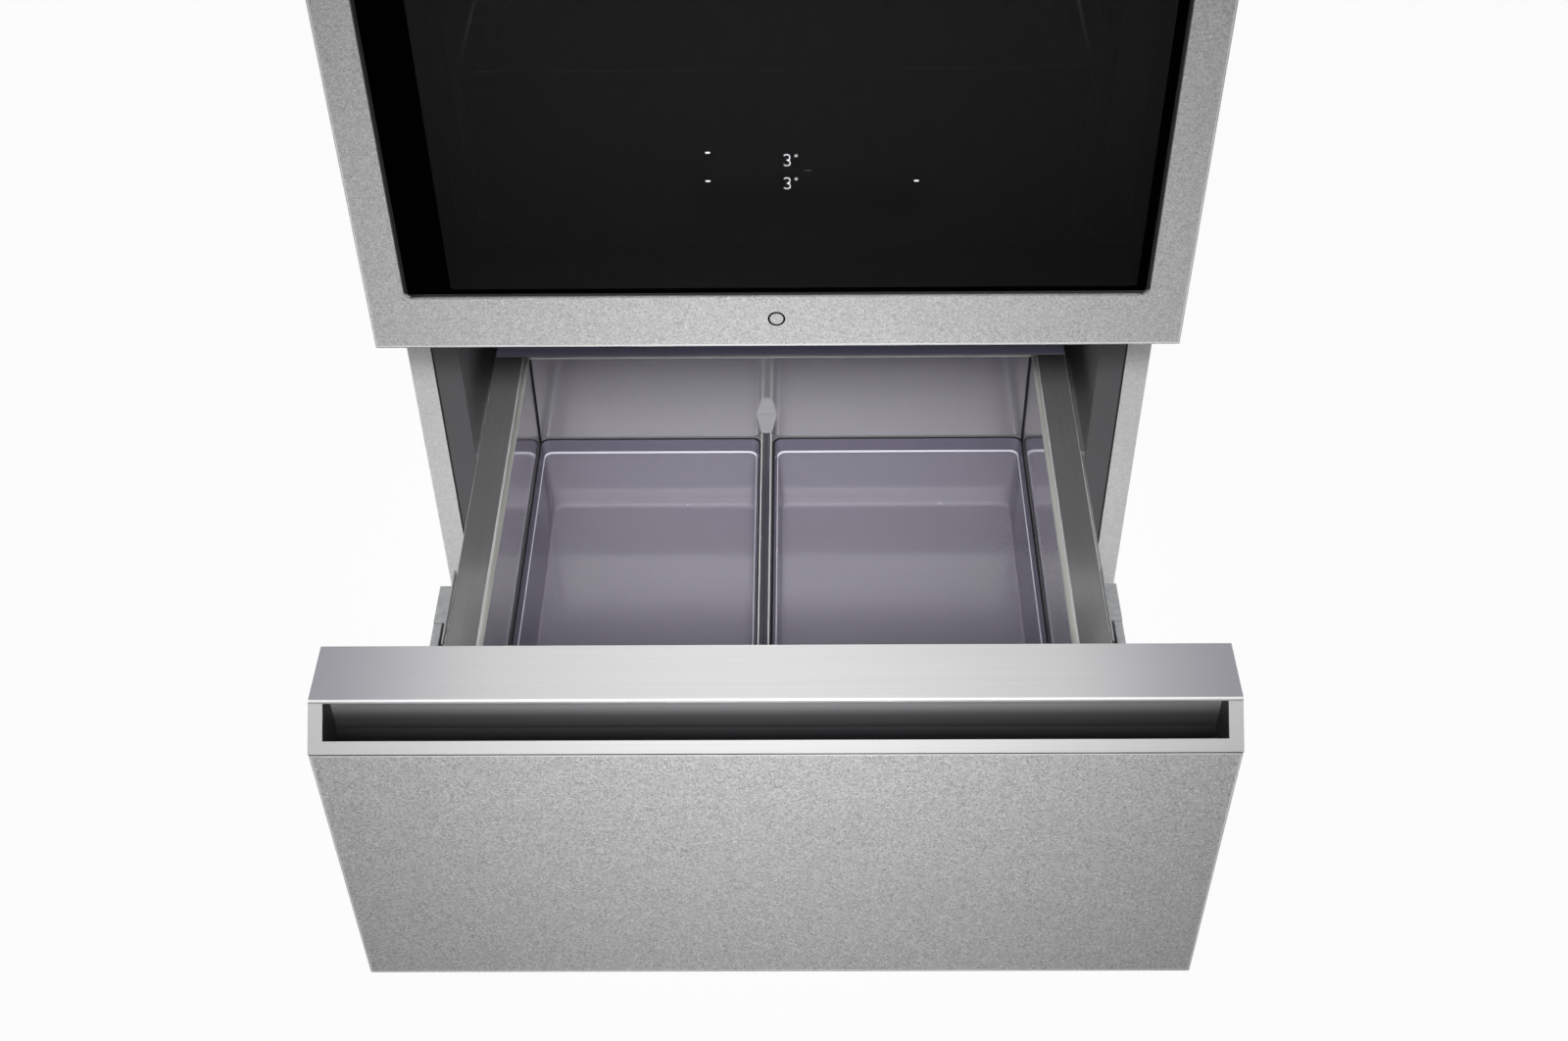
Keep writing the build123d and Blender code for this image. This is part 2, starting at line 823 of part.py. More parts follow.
def machine_fan_plane():
    """Axis of the machine room's fan, pointing to the right."""
    z = base_top + (machine_top - base_top) / 2
    return Plane(origin=(half_inside * 0.2, machine_middle(), z), x_dir=(0, 1, 0), z_dir=(1, 0, 0))


def fan_shroud():
    """Upright plate with the fan's ring and motor."""
    plane = machine_fan_plane()
    x = plane.origin.X
    y = plane.origin.Y
    z = plane.origin.Z
    opening = machine_fan_radius + fan_tip_gap
    half = opening + 5
    plate = block((x - 4, x), (y - half, y + half), (base_top, z + half))
    ring, bore = fan_ring(plane, opening, -4, 16)
    plate = plate + ring - bore
    return plate + motor_arms(plane, opening + 1.5, 4) + fan_motor(plane)


def machine_cover():
    """Rear cover of the machine room with rows of louvres."""
    cover = block((-half_inside, half_inside), (foam_back, foam_back + back_sheet), (base_level, machine_top))
    rows = int((machine_top - base_top) * 0.5 / louvre_pitch)
    for column in (-2, 0):
        for row in range(rows):
            x = column * louvre_length
            z = base_top + machine_room_height * 0.2 + row * louvre_pitch
            cover -= block(
                (x - louvre_length / 2, x + louvre_length / 2),
                (foam_back - 1, foam_back + back_sheet + 1),
                (z, z + louvre_height),
            )
    x, z = inlet_place()
    hole = fit_gap / 2
    return cover - block(
        (x - inlet_length / 2 - hole, x + inlet_length / 2 + hole),
        (foam_back - 1, foam_back + back_sheet + 1),
        (z - inlet_height / 2 - hole, z + inlet_height / 2 + hole),
    )


def inlet_place():
    """Middle of the power inlet, seen from behind."""
    return half_inside * 0.68, base_top + inlet_rise


def power_inlet():
    """Appliance inlet for a mains lead, with three pins."""
    x, z = inlet_place()
    outside = foam_back + back_sheet
    half = inlet_length / 2
    tall = inlet_height / 2
    body = block((x - half, x + half), (outside - inlet_depth, outside), (z - tall, z + tall))
    body += block((x - half - 6, x + half + 6), (outside, outside + 1.5), (z - tall - 3, z + tall + 3))
    body -= block(
        (x - half + inlet_wall, x + half - inlet_wall),
        (outside - inlet_depth + inlet_wall, outside + 2),
        (z - tall + inlet_wall, z + tall - inlet_wall),
    )
    for offset, rise in ((-7, -2), (0, 2), (7, -2)):
        body += block(
            (x + offset - 1, x + offset + 1),
            (outside - inlet_depth + inlet_wall - 1, outside - 5),
            (z + rise - 2, z + rise + 2),
        )
    return body


def control_box():
    """Ribbed housing of the main circuit board, on the machine room's right cheek."""
    high = half_inside - base_sheet
    middle = machine_middle()
    low_z = base_top + 26
    box = block(
        (high - control_width, high),
        (middle - control_length / 2, middle + control_length / 2),
        (low_z, low_z + control_height),
    )
    box = chamfer(box.edges().group_by(Axis.X)[0], 2.5)
    box -= block(
        (high - control_width + 2, high + 1),
        (middle - control_length / 2 + 2, middle + control_length / 2 - 2),
        (low_z + 2, low_z + control_height - 2),
    )
    for rib in range(5):
        z = low_z + (rib + 0.75) * control_height / 5.5
        box += block(
            (high - control_width - 2, high - control_width + 1),
            (middle - control_length / 2 + 8, middle + control_length / 2 - 8),
            (z, z + 3),
        )
    return box


# Door and its hinges

def hinge_brackets():
    """Upper and lower hinge plates with their pins."""
    x_low = pin_x - hinge_width + pin_inset
    x_high = half_body - 2
    upper_z = door_top + fit_gap * 2
    upper_y = (pin_y - pin_inset, body_front + hinge_reach)
    upper = block((x_low, x_high), upper_y, (upper_z, upper_z + hinge_sheet))
    upper = chamfer(upper.edges().filter_by(Axis.Z).group_by(Axis.Y)[0], pin_inset / 2)
    upper += block((x_low, x_high), (body_front + 10, body_front + hinge_reach), (body_top, upper_z))
    upper += rod((pin_x, pin_y, upper_z), (0, 0, -1), pin_radius, pin_length)
    lower_z = door_bottom - fit_gap * 2 - hinge_sheet
    lower = block((x_low, x_high), (pin_y - pin_inset, body_front), (lower_z, lower_z + hinge_sheet))
    lower = chamfer(lower.edges().filter_by(Axis.Z).group_by(Axis.Y)[0], pin_inset / 2)
    lower += block(
        (x_low, x_high),
        (body_front - hinge_sheet, body_front),
        (door_bottom - front_gap + 4, lower_z + hinge_sheet),
    )
    lower += rod((pin_x, pin_y, lower_z + hinge_sheet), (0, 0, 1), pin_radius, pin_length)
    return [upper, lower]


def hinge_cover():
    """Cap over the upper hinge."""
    x = (pin_x - hinge_width + pin_inset - 6, half_body)
    low_y = pin_y - pin_inset - 4
    high_y = body_front + hinge_reach + 14
    step_z = door_top + fit_gap * 2
    high_z = body_top + cover_height
    outer = block(x, (low_y, high_y), (step_z, high_z)) + block(x, (body_front + 2, high_y), (body_top, high_z))
    outer = chamfer(outer.edges().group_by(Axis.Z)[-1], 2)
    wall = cover_sheet
    inner = block((x[0] + wall, x[1] - wall), (low_y + wall, high_y - wall), (body_top - 1, high_z - wall))
    return outer - inner


def door_skin_outer():
    """Outer volume of the door's steel skin, with softly bent upright edges."""
    shape = block((-half_front, half_front), (front_y, front_y + skin_side_depth), (door_bottom, door_top))
    return fillet(shape.edges().filter_by(Axis.Z).group_by(Axis.Y)[0], 2 * skin)


def window_block(half_shrink, low_shrink, y, radius):
    """Rounded block in the place of the door's window, shrunk all round."""
    half = half_front - door_side_border - half_shrink
    low = door_bottom + door_foot_border + low_shrink
    high = door_top - door_side_border - low_shrink
    shape = block((-half, half), y, (low, high))
    return fillet(shape.edges().filter_by(Axis.Y), radius)


def hem_block(y):
    """The window with the thickness of its hem, square at the corners."""
    half = half_front - door_side_border + skin
    return block(
        (-half, half),
        y,
        (door_bottom + door_foot_border - skin, door_top - door_side_border + skin),
    )


def door_frame():
    """Textured steel skin round the glass, with its edges turned back."""
    outer = door_skin_outer()
    inner = block(
        (-half_front + skin, half_front - skin),
        (front_y + skin, front_y + skin_side_depth + 1),
        (door_bottom + skin, door_top - skin),
    )
    inner = fillet(inner.edges().filter_by(Axis.Z).group_by(Axis.Y)[0], skin)
    beyond = block(
        (-half_front + skin, half_front - skin),
        (front_y + skin_foot_depth, front_y + skin_side_depth + 1),
        (door_bottom - 1, door_top + 1),
    )
    frame = outer - inner - beyond
    frame += hem_block((front_y, front_y + door_window_hem))
    frame -= window_block(0, 0, (front_y - 1, front_y + door_window_hem + 1), door_window_radius)
    return frame - ring_groove()


def ring_groove():
    """Ring-shaped groove below the glass."""
    z = door_bottom + ring_height
    outer = rod((0, front_y, z), (0, 1, 0), ring_radius + ring_stroke / 2, ring_depth)
    return outer - rod((0, front_y, z), (0, 1, 0), ring_radius - ring_stroke / 2, ring_depth)


def door_glass():
    """Tinted pane, a little below the frame's face."""
    low = front_y + glass_recess
    gap = glass_edge_gap
    return window_block(gap, gap, (low, low + glass_sheet), door_window_radius - gap)


def view_block(grow, side, y):
    """The see-through part of the door, with its own border on the hinge side."""
    left = half_front - door_view_border + grow
    low = door_bottom + door_foot_border + door_glass_seat - grow
    high = door_top - door_view_border + grow
    return block((-left, half_front - side + grow), y, (low, high))


def door_inner_frame():
    """Moulded and foamed frame of the door, with the rim that holds the baskets."""
    glass_back = front_y + glass_recess + glass_sheet
    frame = block(
        (-half_front + skin, half_front - skin),
        (front_y + skin, front_y + skin_side_depth),
        (door_bottom + skin, door_top - skin),
    )
    frame = fillet(frame.edges().filter_by(Axis.Z).group_by(Axis.Y)[0], skin)
    frame += block(
        (-half_front + skin, half_front - skin),
        (front_y + skin_foot_depth, front_y + skin_side_depth),
        (door_bottom, door_top),
    )
    frame += block((-half_front, half_front), (front_y + skin_side_depth, front_back), (door_bottom, door_top))
    rim_half = half_room - door_rim_gap
    rim = block(
        (-rim_half, rim_half),
        (front_back - 1, front_back + door_rim_depth),
        (fridge_floor + door_rim_gap / 2, fridge_ceiling - door_rim_gap / 2),
    )
    frame += chamfer(rim.edges().group_by(Axis.Y)[-1], 5)
    inner_half = rim_half - door_rim_sheet
    frame -= block(
        (-inner_half, inner_half),
        (front_back, front_back + door_rim_depth + 1),
        (fridge_floor + door_rim_gap / 2 + door_rim_sheet, fridge_ceiling - door_rim_gap / 2 - door_rim_sheet),
    )
    frame -= hem_block((front_y, glass_back))
    rear_start = front_y + inner_glass_depth
    frame -= view_block(0, door_view_edge, (front_y, rear_start - inner_glass_rebate))
    frame -= view_block(0, door_view_border, (front_y, front_back + 1))
    frame -= view_block(inner_glass_rebate, door_view_border, (rear_start, front_back + 1))
    for z, way in ((door_bottom, 1), (door_top, -1)):
        frame -= rod((pin_x, pin_y, z), (0, 0, way), pin_radius + running_gap, pin_length + 1)
    frame -= grip_block(0)
    for floor in basket_floors:
        for lug in both_sides(basket_lug(door_bottom + floor)):
            frame += lug
    return frame


def grip_block(shrink):
    """Finger groove under the door's free end."""
    low_x = -half_front + door_side_border
    low_y = front_y + skin_foot_depth + 8
    return block(
        (low_x + shrink, low_x + grip_length - shrink),
        (low_y + shrink, low_y + grip_width - shrink),
        (door_bottom - 1, door_bottom + grip_height - shrink),
    )


def basket_lug(floor):
    """Shelf-like lug on the door rim's right side that a basket stands on."""
    half = half_room - door_rim_gap - door_rim_sheet
    return block(
        (half - basket_gap - 6, half),
        (front_back + 4, front_back + door_rim_depth - 8),
        (floor - 6 - fit_gap, floor),
    )


def door_inner_glass():
    """Inner pane in the frame's rebate."""
    low = front_y + inner_glass_depth
    return view_block(inner_glass_rebate - fit_gap, door_view_border, (low, low + glass_sheet))


def gasket_ring(low, high, width):
    """Magnetic gasket on a front's back, between two heights."""
    half = half_front - gasket_side_offset
    ring = block((-half, half), (front_back, body_front - fit_gap), (low, high))
    ring -= block(
        (-half + width, half - width),
        (front_back - 1, body_front + 1),
        (low + width, high - width),
    )
    return ring


def door_basket(floor, height):
    """Clear open basket with cut corners."""
    half = half_room - door_rim_gap - door_rim_sheet - basket_gap
    low_y = front_back + 5
    high_y = low_y + basket_depth
    z = door_bottom + floor
    basket = block((-half, half), (low_y, high_y), (z, z + height))
    basket = chamfer(basket.edges().filter_by(Axis.Z), basket_corner)
    inner = block(
        (-half + basket_sheet, half - basket_sheet),
        (low_y + basket_sheet, high_y - basket_sheet),
        (z + basket_sheet, z + height + 1),
    )
    return basket - chamfer(inner.edges().filter_by(Axis.Z), basket_corner - basket_sheet / 2)


def sensor_ring():
    """Dark faceted ring let into the groove."""
    plane = Plane(origin=(0, front_y, door_bottom + ring_height), x_dir=(1, 0, 0), z_dir=(0, 1, 0))
    outline = RegularPolygon(ring_radius + ring_stroke / 2, 40)
    outline -= RegularPolygon(ring_radius - ring_stroke / 2, 40, major_radius=False)
    return extrude(plane * outline, amount=ring_depth)


def display_panel():
    """Light display bonded behind the glass."""
    low_y = front_y + glass_recess + glass_sheet
    foot = door_bottom + door_foot_border + display_foot
    return block(
        (display_shift - display_width / 2, display_shift + display_width / 2),
        (low_y, low_y + display_thickness),
        (foot, foot + display_height),
    )


# Drawers

def front_levels(foot):
    """Height where the bevel starts, and the top of a drawer front."""
    top = foot + drawer_front_height
    return top - bevel_drop, top


def front_panel(foot):
    """Textured steel sheet with its sides and foot turned back."""
    bevel_foot = front_levels(foot)[0]
    panel = block((-half_front, half_front), (front_y, front_y + skin_side_depth), (foot, bevel_foot))
    panel = fillet(panel.edges().filter_by(Axis.Z).group_by(Axis.Y)[0], 2 * skin)
    inner = block(
        (-half_front + skin, half_front - skin),
        (front_y + skin, front_y + skin_side_depth + 1),
        (foot + skin, bevel_foot + 1),
    )
    inner = fillet(inner.edges().filter_by(Axis.Z).group_by(Axis.Y)[0], skin)
    beyond = block(
        (-half_front + skin, half_front - skin),
        (front_y + skin_foot_depth, front_y + skin_side_depth + 1),
        (foot - 1, bevel_foot + 1),
    )
    return panel - inner - beyond


def bevel_inside(thickness):
    """Corner points of the bevel's inner face, behind a sheet of some thickness."""
    slant = math.hypot(bevel_depth, bevel_drop)
    behind = thickness * slant / bevel_drop
    run = bevel_depth / bevel_drop
    return behind, behind + (bevel_drop - thickness) * run


def recess_outline(foot):
    """Section of the grip recess: in through the bevel, then down behind it."""
    bevel_foot, top = front_levels(foot)
    slant = math.hypot(bevel_depth, bevel_drop)
    across = (bevel_depth / slant, bevel_drop / slant)
    lip = (front_y + rail_lip * across[0], bevel_foot + rail_lip * across[1])
    reach = slant - rail_top_lip
    top_lip = (front_y + reach * across[0], bevel_foot + reach * across[1])
    away = (-across[1] * bevel_cut, across[0] * bevel_cut)
    return [
        (lip[0] + away[0], lip[1] + away[1]),
        (top_lip[0] + away[0], top_lip[1] + away[1]),
        top_lip,
        (front_y + recess_back - 5, top - recess_roof),
        (front_y + recess_back, top - 2 * recess_roof),
        (front_y + recess_back, top - recess_floor + 9),
        (front_y + recess_back - 7, top - recess_floor),
        (lip[0] + 9, top - recess_floor),
        (lip[0] + 2, top - recess_floor * 0.86),
        lip,
    ]


def recess_prism(foot, wall):
    """The recess as a solid, grown by a wall."""
    half = half_front - recess_end + wall
    face = make_face(Polyline(*recess_outline(foot), close=True))
    if wall:
        face = offset(face, amount=wall, kind=Kind.INTERSECTION)
    plane = Plane(origin=(-half, 0, 0), x_dir=(0, 1, 0), z_dir=(1, 0, 0))
    return extrude(plane * face, amount=2 * half)


def handle_rail(foot):
    """Bevelled rail along the top of a drawer front, with the grip recess in it."""
    bevel_foot, top = front_levels(foot)
    low_in, high_in = bevel_inside(rail_sheet)
    section = [
        (front_y, bevel_foot),
        (front_y + bevel_depth, top),
        (front_back, top),
        (front_back, top - rail_sheet),
        (front_y + high_in, top - rail_sheet),
        (front_y + low_in, bevel_foot),
    ]
    rail = prism_x(section, -half_front, half_front)
    tab_half = half_front - 2 * skin
    rail += block(
        (-tab_half, tab_half), (front_y + skin, front_y + low_in), (bevel_foot - rail_tab, bevel_foot)
    )
    cap_outline = [
        (front_y, bevel_foot),
        (front_y + bevel_depth, top),
        (front_y + skin_side_depth, top),
        (front_y + skin_side_depth, bevel_foot),
    ]
    rail += prism_x(cap_outline, -half_front, -half_front + rail_sheet)
    rail += prism_x(cap_outline, half_front - rail_sheet, half_front)
    whole = [
        (front_y + low_in, foot),
        (front_y + low_in, bevel_foot),
        (front_y, bevel_foot),
        (front_y + bevel_depth, top),
        (front_back, top),
        (front_back, foot),
    ]
    rail += recess_prism(foot, recess_sheet) & prism_x(whole, -half_front, half_front)
    return rail - recess_prism(foot, 0)


def front_core(foot):
    """Foamed core of a drawer front, with the raised inner panel on its back."""
    bevel_foot, top = front_levels(foot)
    low_in, high_in = bevel_inside(rail_sheet)
    tab_foot = bevel_foot - rail_tab
    face = half_front - skin
    core = block((-face, face), (front_y + skin, front_y + skin_side_depth), (foot + skin, tab_foot))
    core = fillet(core.edges().filter_by(Axis.Z).group_by(Axis.Y)[0], skin)
    core += block((-face, face), (front_y + skin_foot_depth, front_y + skin_side_depth), (foot, bevel_foot))
    section = [
        (front_y + low_in, tab_foot),
        (front_y + low_in, bevel_foot),
        (front_y + high_in, top - rail_sheet),
        (front_back, top - rail_sheet),
        (front_back, tab_foot),
    ]
    core += prism_x(section, -half_front + rail_sheet, half_front - rail_sheet)
    core += block(
        (-half_front, half_front), (front_y + skin_side_depth, front_back), (foot, top - rail_sheet)
    )
    core -= recess_prism(foot, recess_sheet)
    half = half_room - front_plug_side
    plug = block(
        (-half, half),
        (front_back - 1, front_back + front_plug_depth),
        (foot + front_plug_foot, top - front_plug_foot),
    )
    return core + chamfer(plug.edges().group_by(Axis.Y)[-1], 5)


def frame_reach():
    """Front and back of a drawer's side frames, with the drawer shut."""
    start = front_back + front_plug_depth
    return start, start + box_front_gap + box_length


def drawer_frame(foot):
    """Two side channels of folded sheet and the bar across the back."""
    top = foot + drawer_front_height - frame_drop
    start, end = frame_reach()
    inner = frame_half_width - frame_width
    sheet = frame_sheet
    low = top - frame_height
    section = [
        (inner - box_hem, top - box_hem_height()),
        (inner, top - box_hem_height()),
        (inner, top),
        (frame_half_width, top),
        (frame_half_width, low),
        (frame_half_width - sheet, low),
        (frame_half_width - sheet, top - sheet),
        (inner + sheet, top - sheet),
        (inner + sheet, low),
        (inner, low),
        (inner, top - box_hem_height() - sheet),
        (inner - box_hem, top - box_hem_height() - sheet),
    ]
    side = prism_y(section, start, end)
    side += block((inner, frame_half_width), (start, start + 3), (low, top))
    bar_low = top - rear_bar_height
    bar = block((-frame_half_width, frame_half_width), (end, end + rear_bar_depth), (bar_low, top))
    bar -= block(
        (-frame_half_width + sheet, frame_half_width - sheet),
        (end + sheet, end + rear_bar_depth - sheet),
        (bar_low - 1, top - sheet),
    )
    return both_sides(side) + [bar]


def box_hem_height():
    """Height of the box's hem, which sinks its top flush with the side frames."""
    return 2 * box_sheet


def box_walls(foot):
    """Half width, y span and z span of the steel box outside."""
    top = foot + drawer_front_height - frame_drop
    half = frame_half_width - frame_width - box_side_gap - box_hem
    start = front_back + front_plug_depth + box_front_gap
    return half, (start, start + box_length - fit_gap), (top - box_height, top)


def steel_box(foot):
    """Folded steel box with a hemmed rim that hangs in the frames."""
    half, y, z = box_walls(foot)
    box = block((-half, half), y, z)
    box += block((-half - box_hem, half + box_hem), y, (z[1] - box_hem_height(), z[1]))
    return box - block(
        (-half + box_sheet, half - box_sheet),
        (y[0] + box_sheet, y[1] - box_sheet),
        (z[0] + box_sheet, z[1] + 1),
    )


def clear_bins(foot, spans):
    """Clear tapered bins in the steel box, one for each span across."""
    y, z = box_walls(foot)[1:]
    low = z[0] + box_sheet
    high = z[1] - bin_rim_drop
    bins = []
    for left, right in spans:
        middle = (left + right) / 2
        width = right - left
        length = y[1] - y[0] - 2 * box_sheet - 2 * fit_gap
        place = Pos(middle, (y[0] + y[1]) / 2, low)
        height = high - low
        inner = (width - 2 * bin_flange, length - 2 * bin_collar)
        body = bin_block(*inner, height, 0) + bin_rim((width, length), inner, height, 0)
        body -= bin_block(*inner, height, bin_sheet)
        body -= bin_rim((width, length), inner, height, bin_sheet)
        bins.append(place * body)
    return bins


def bin_rim(outer, inner, height, wall):
    """Flared collar round a bin's top, shrunk by a wall and open through its top."""
    foot = height - bin_collar_drop
    corner = bin_corner - wall / 2
    low = cut_rectangle(inner[0] - 2 * wall, inner[1] - 2 * wall, corner, foot)
    high = cut_rectangle(outer[0] - 2 * wall, outer[1] - 2 * wall, corner, height)
    if not wall:
        return frustum(low, high)
    above = cut_rectangle(outer[0] - 2 * wall, outer[1] - 2 * wall, corner, height + 1)
    return frustum(low, high) + frustum(high, above)


def bin_block(width, length, height, wall):
    """Tapered block with cut corners, shrunk by a wall and open through its top."""
    corner = bin_corner - wall / 2
    top = cut_rectangle(width - 2 * wall, length - 2 * wall, corner, height)
    shrink = 2 * bin_taper + 2 * wall
    foot = cut_rectangle(width - shrink, length - shrink, corner, wall)
    block_shape = frustum(foot, top)
    if wall:
        above = cut_rectangle(width - 2 * wall, length - 2 * wall, corner, height + 1)
        block_shape += frustum(top, above)
    return block_shape


def bin_spans(split):
    """Left and right ends of the bins across the box."""
    half = frame_half_width - frame_width - box_side_gap - box_hem - box_sheet - fit_gap
    if not split:
        return [(-half, half)]
    side = divider_width / 2 + fit_gap
    return [(-half, divider_shift - side), (divider_shift + side, half)]


def box_divider(foot):
    """Bar from front to back that parts the bins, with a clip at each end."""
    y, z = box_walls(foot)[1:]
    low = z[0] + box_sheet
    top = low + divider_height
    front = y[0] + box_sheet
    back = y[1] - box_sheet
    half_bar = divider_width / 2
    groove = 1.5
    section = [
        (divider_shift - half_bar, low),
        (divider_shift - half_bar, top - groove),
        (divider_shift - half_bar + groove, top),
        (divider_shift - groove, top),
        (divider_shift, top - groove),
        (divider_shift + groove, top),
        (divider_shift + half_bar - groove, top),
        (divider_shift + half_bar, top - groove),
        (divider_shift + half_bar, low),
        (divider_shift + half_bar - groove, low),
        (divider_shift + half_bar - groove, top - 2 * groove - 1),
        (divider_shift - half_bar + groove, top - 2 * groove - 1),
        (divider_shift - half_bar + groove, low),
    ]
    bar = prism_y(section, front, back)
    for end, foot in ((front, front + divider_clip_length), (back, back - divider_clip_length)):
        bar += divider_clip(end, foot, top + divider_clip_rise)
    return bar


def divider_clip(end, foot, top):
    """Flat clip on the divider that widens towards one end of the box."""
    wide = divider_clip_width / 2
    narrow = divider_width / 2
    outline = [(-wide, end), (wide, end), (narrow, foot), (-narrow, foot)]
    low, high = [
        [(divider_shift + x, y, z) for x, y in outline] for z in (top - divider_clip_sheet, top)
    ]
    return frustum(low, high)


# Telescopic slides

def slide_channel(web, edge, half_height, lip_inward):
    """C section of a slide member: its web at one x, its flanges reaching to another."""
    sheet = slide_sheet if lip_inward else -slide_sheet
    return [
        (web, -half_height),
        (web, half_height),
        (edge, half_height),
        (edge, half_height - slide_sheet),
        (web - sheet, half_height - slide_sheet),
        (web - sheet, -half_height + slide_sheet),
        (edge, -half_height + slide_sheet),
        (edge, -half_height),
    ]


def slide_member(level, web, edge, half_height, lip_inward, shift):
    """One right-hand slide member, moved along the drawer's way."""
    start = body_front + slide_start + shift
    outline = [(x, z + level) for x, z in slide_channel(web, edge, half_height, lip_inward)]
    return prism_y(outline, start, start + slide_length)


def slide_sections():
    """Web x, flange end x and half height of the fixed, middle and moving members."""
    half = slide_height / 2
    step = slide_sheet + fit_gap
    inner = frame_half_width
    fixed = (half_room, inner + 2 * step + 4, half)
    middle = (half_room - step, inner + step, half - step)
    moving = (inner, half_room - 2 * step - fit_gap, half - 2 * step)
    return fixed, middle, moving


def fixed_rails(foots):
    """Outer members of both drawers' slides, on the liners' walls."""
    web, edge, half = slide_sections()[0]
    rails = []
    for foot in foots:
        level = foot + drawer_front_height - slide_drop
        rails += both_sides(slide_member(level, web, edge, half, True, 0))
    return rails


def middle_rails(foot, pull):
    """Middle members of one drawer's slides, halfway along the drawer's way."""
    web, edge, half = slide_sections()[1]
    level = foot + drawer_front_height - slide_drop
    return both_sides(slide_member(level, web, edge, half, True, -pull / 2))


def moving_rails(foot):
    """Moving members with the brackets that hold up the drawer's front."""
    web, edge, half = slide_sections()[2]
    level = foot + drawer_front_height - slide_drop
    member = slide_member(level, web, edge, half, False, 0)
    top = foot + drawer_front_height - frame_drop + bracket_rise
    start = front_y + bracket_start
    sheet = slide_sheet
    member += block((web, web + sheet), (start, start + 2 * bracket_length), (level, top))
    plate_start = start + bracket_length * 0.55
    member += block((web, web + bracket_width), (plate_start, plate_start + bracket_length), (top - sheet, top))
    low_x = web + bracket_width - bracket_block_width
    member += block(
        (low_x, low_x + bracket_block_width),
        (start - bracket_length, plate_start + bracket_overlap),
        (top - bracket_block_height, top - sheet),
    )
    member += block(
        (web, low_x + 1), (start, plate_start), (top - bracket_block_height, top - bracket_block_height + sheet)
    )
    return both_sides(member)


def build_cabinet(foots):
    """Everything that stands still."""
    plugs = []
    for index, label in enumerate(("lower", "upper")):
        floor, ceiling = drawer_room(index)
        depth = drawer_room_depth + (cooling_room_depth if index == 1 else 0)
        plugs.append(room_plug(floor, ceiling, depth, liner_sheet))
        liner = room_liner(floor, ceiling, depth)
        if index == 1:
            liner -= duct_hole(ceiling - liner_sheet, ceiling + 2 * liner_sheet)
        save(f"{label}_drawer_liner", liner)
    plugs.append(room_plug(fridge_floor, fridge_ceiling, fridge_room_depth, liner_sheet))
    save("fridge_liner", fridge_liner())
    save("foam_body", foam_body(plugs))
    for index, label in enumerate(("lower", "upper")):
        save(f"{label}_mullion", mullion(index, plugs))
    save("cabinet_shell", cabinet_shell())
    save("back_panel", back_panel())
    save("base_frame", base_frame())
    save("kick_plate", kick_plate())
    save("left_levelling_foot", levelling_foot(-1))
    save("right_levelling_foot", levelling_foot(1))
    save("rear_rollers", rear_rollers())
    save("glass_shelves", *[glass_shelf(level) for level in shelf_levels()])
    save("shelf_trims", *[trim for level in shelf_levels() for trim in shelf_trim(level)])
    save("light_strips", *both_sides(light_strip()))
    save("duct_cover", duct_cover())
    save("fixed_rails", *fixed_rails(foots))
    save("hinge_brackets", *hinge_brackets())
    save("hinge_cover", hinge_cover())


def build_cooling():
    """Cooling parts behind the upper drawer and in the machine room."""
    save("evaporator", evaporator())
    save("evaporator_cover", evaporator_cover())
    save("evaporator_fan", fan_rotor(room_fan_radius, room_fan_plane()))
    save("compressor", compressor())
    save("condenser", condenser())
    save("condenser_fan_shroud", fan_shroud())
    save("condenser_fan", fan_rotor(machine_fan_radius, machine_fan_plane()))
    save("drain_pan", drain_pan())
    save("machine_cover", machine_cover())
    save("power_inlet", power_inlet())
    save("control_box", control_box())


def build_door():
    """The glass door."""
    save("door_frame", door_frame())
    save("door_glass", door_glass())
    save("door_inner_frame", door_inner_frame())
    save("door_inner_glass", door_inner_glass())
    low = door_bottom + gasket_end_offset
    save("door_gasket", gasket_ring(low, body_top - gasket_end_offset, gasket_width))
    for label, floor, height in zip(("lower", "middle", "upper"), basket_floors, basket_heights):
        save(f"{label}_door_basket", door_basket(floor, height))
    save("sensor_ring", sensor_ring())
    save("display_panel", display_panel())


def build_drawer(label, foot, pull, split):
    """One drawer, pulled out by some length."""
    out = Pos(0, -pull, 0)
    low = foot + drawer_gasket_offset
    high = foot + drawer_front_height - drawer_gasket_offset
    pieces = {
        "front_panel": [front_panel(foot)],
        "handle_rail": [handle_rail(foot)],
        "front_core": [front_core(foot)],
        "drawer_gasket": [gasket_ring(low, high, drawer_gasket_width)],
        "drawer_frame": drawer_frame(foot),
        "steel_box": [steel_box(foot)],
        "clear_bins": clear_bins(foot, bin_spans(split)),
        "moving_rails": moving_rails(foot),
    }
    if split:
        pieces["box_divider"] = [box_divider(foot)]
    for name, solids in pieces.items():
        save(f"{label}_{name}", *[out * solid for solid in solids])
    save(f"{label}_middle_rails", *middle_rails(foot, pull))


os.makedirs("parts", exist_ok=True)
drawer_foots = [lowest_front + index * front_step for index in range(2)]
build_cabinet(drawer_foots)
build_cooling()
build_door()
build_drawer("lower", drawer_foots[0], 0, False)
build_drawer("upper", drawer_foots[1], upper_drawer_pull, True)
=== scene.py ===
import json
import math

import bmesh
import bpy
from mathutils import Matrix, Vector

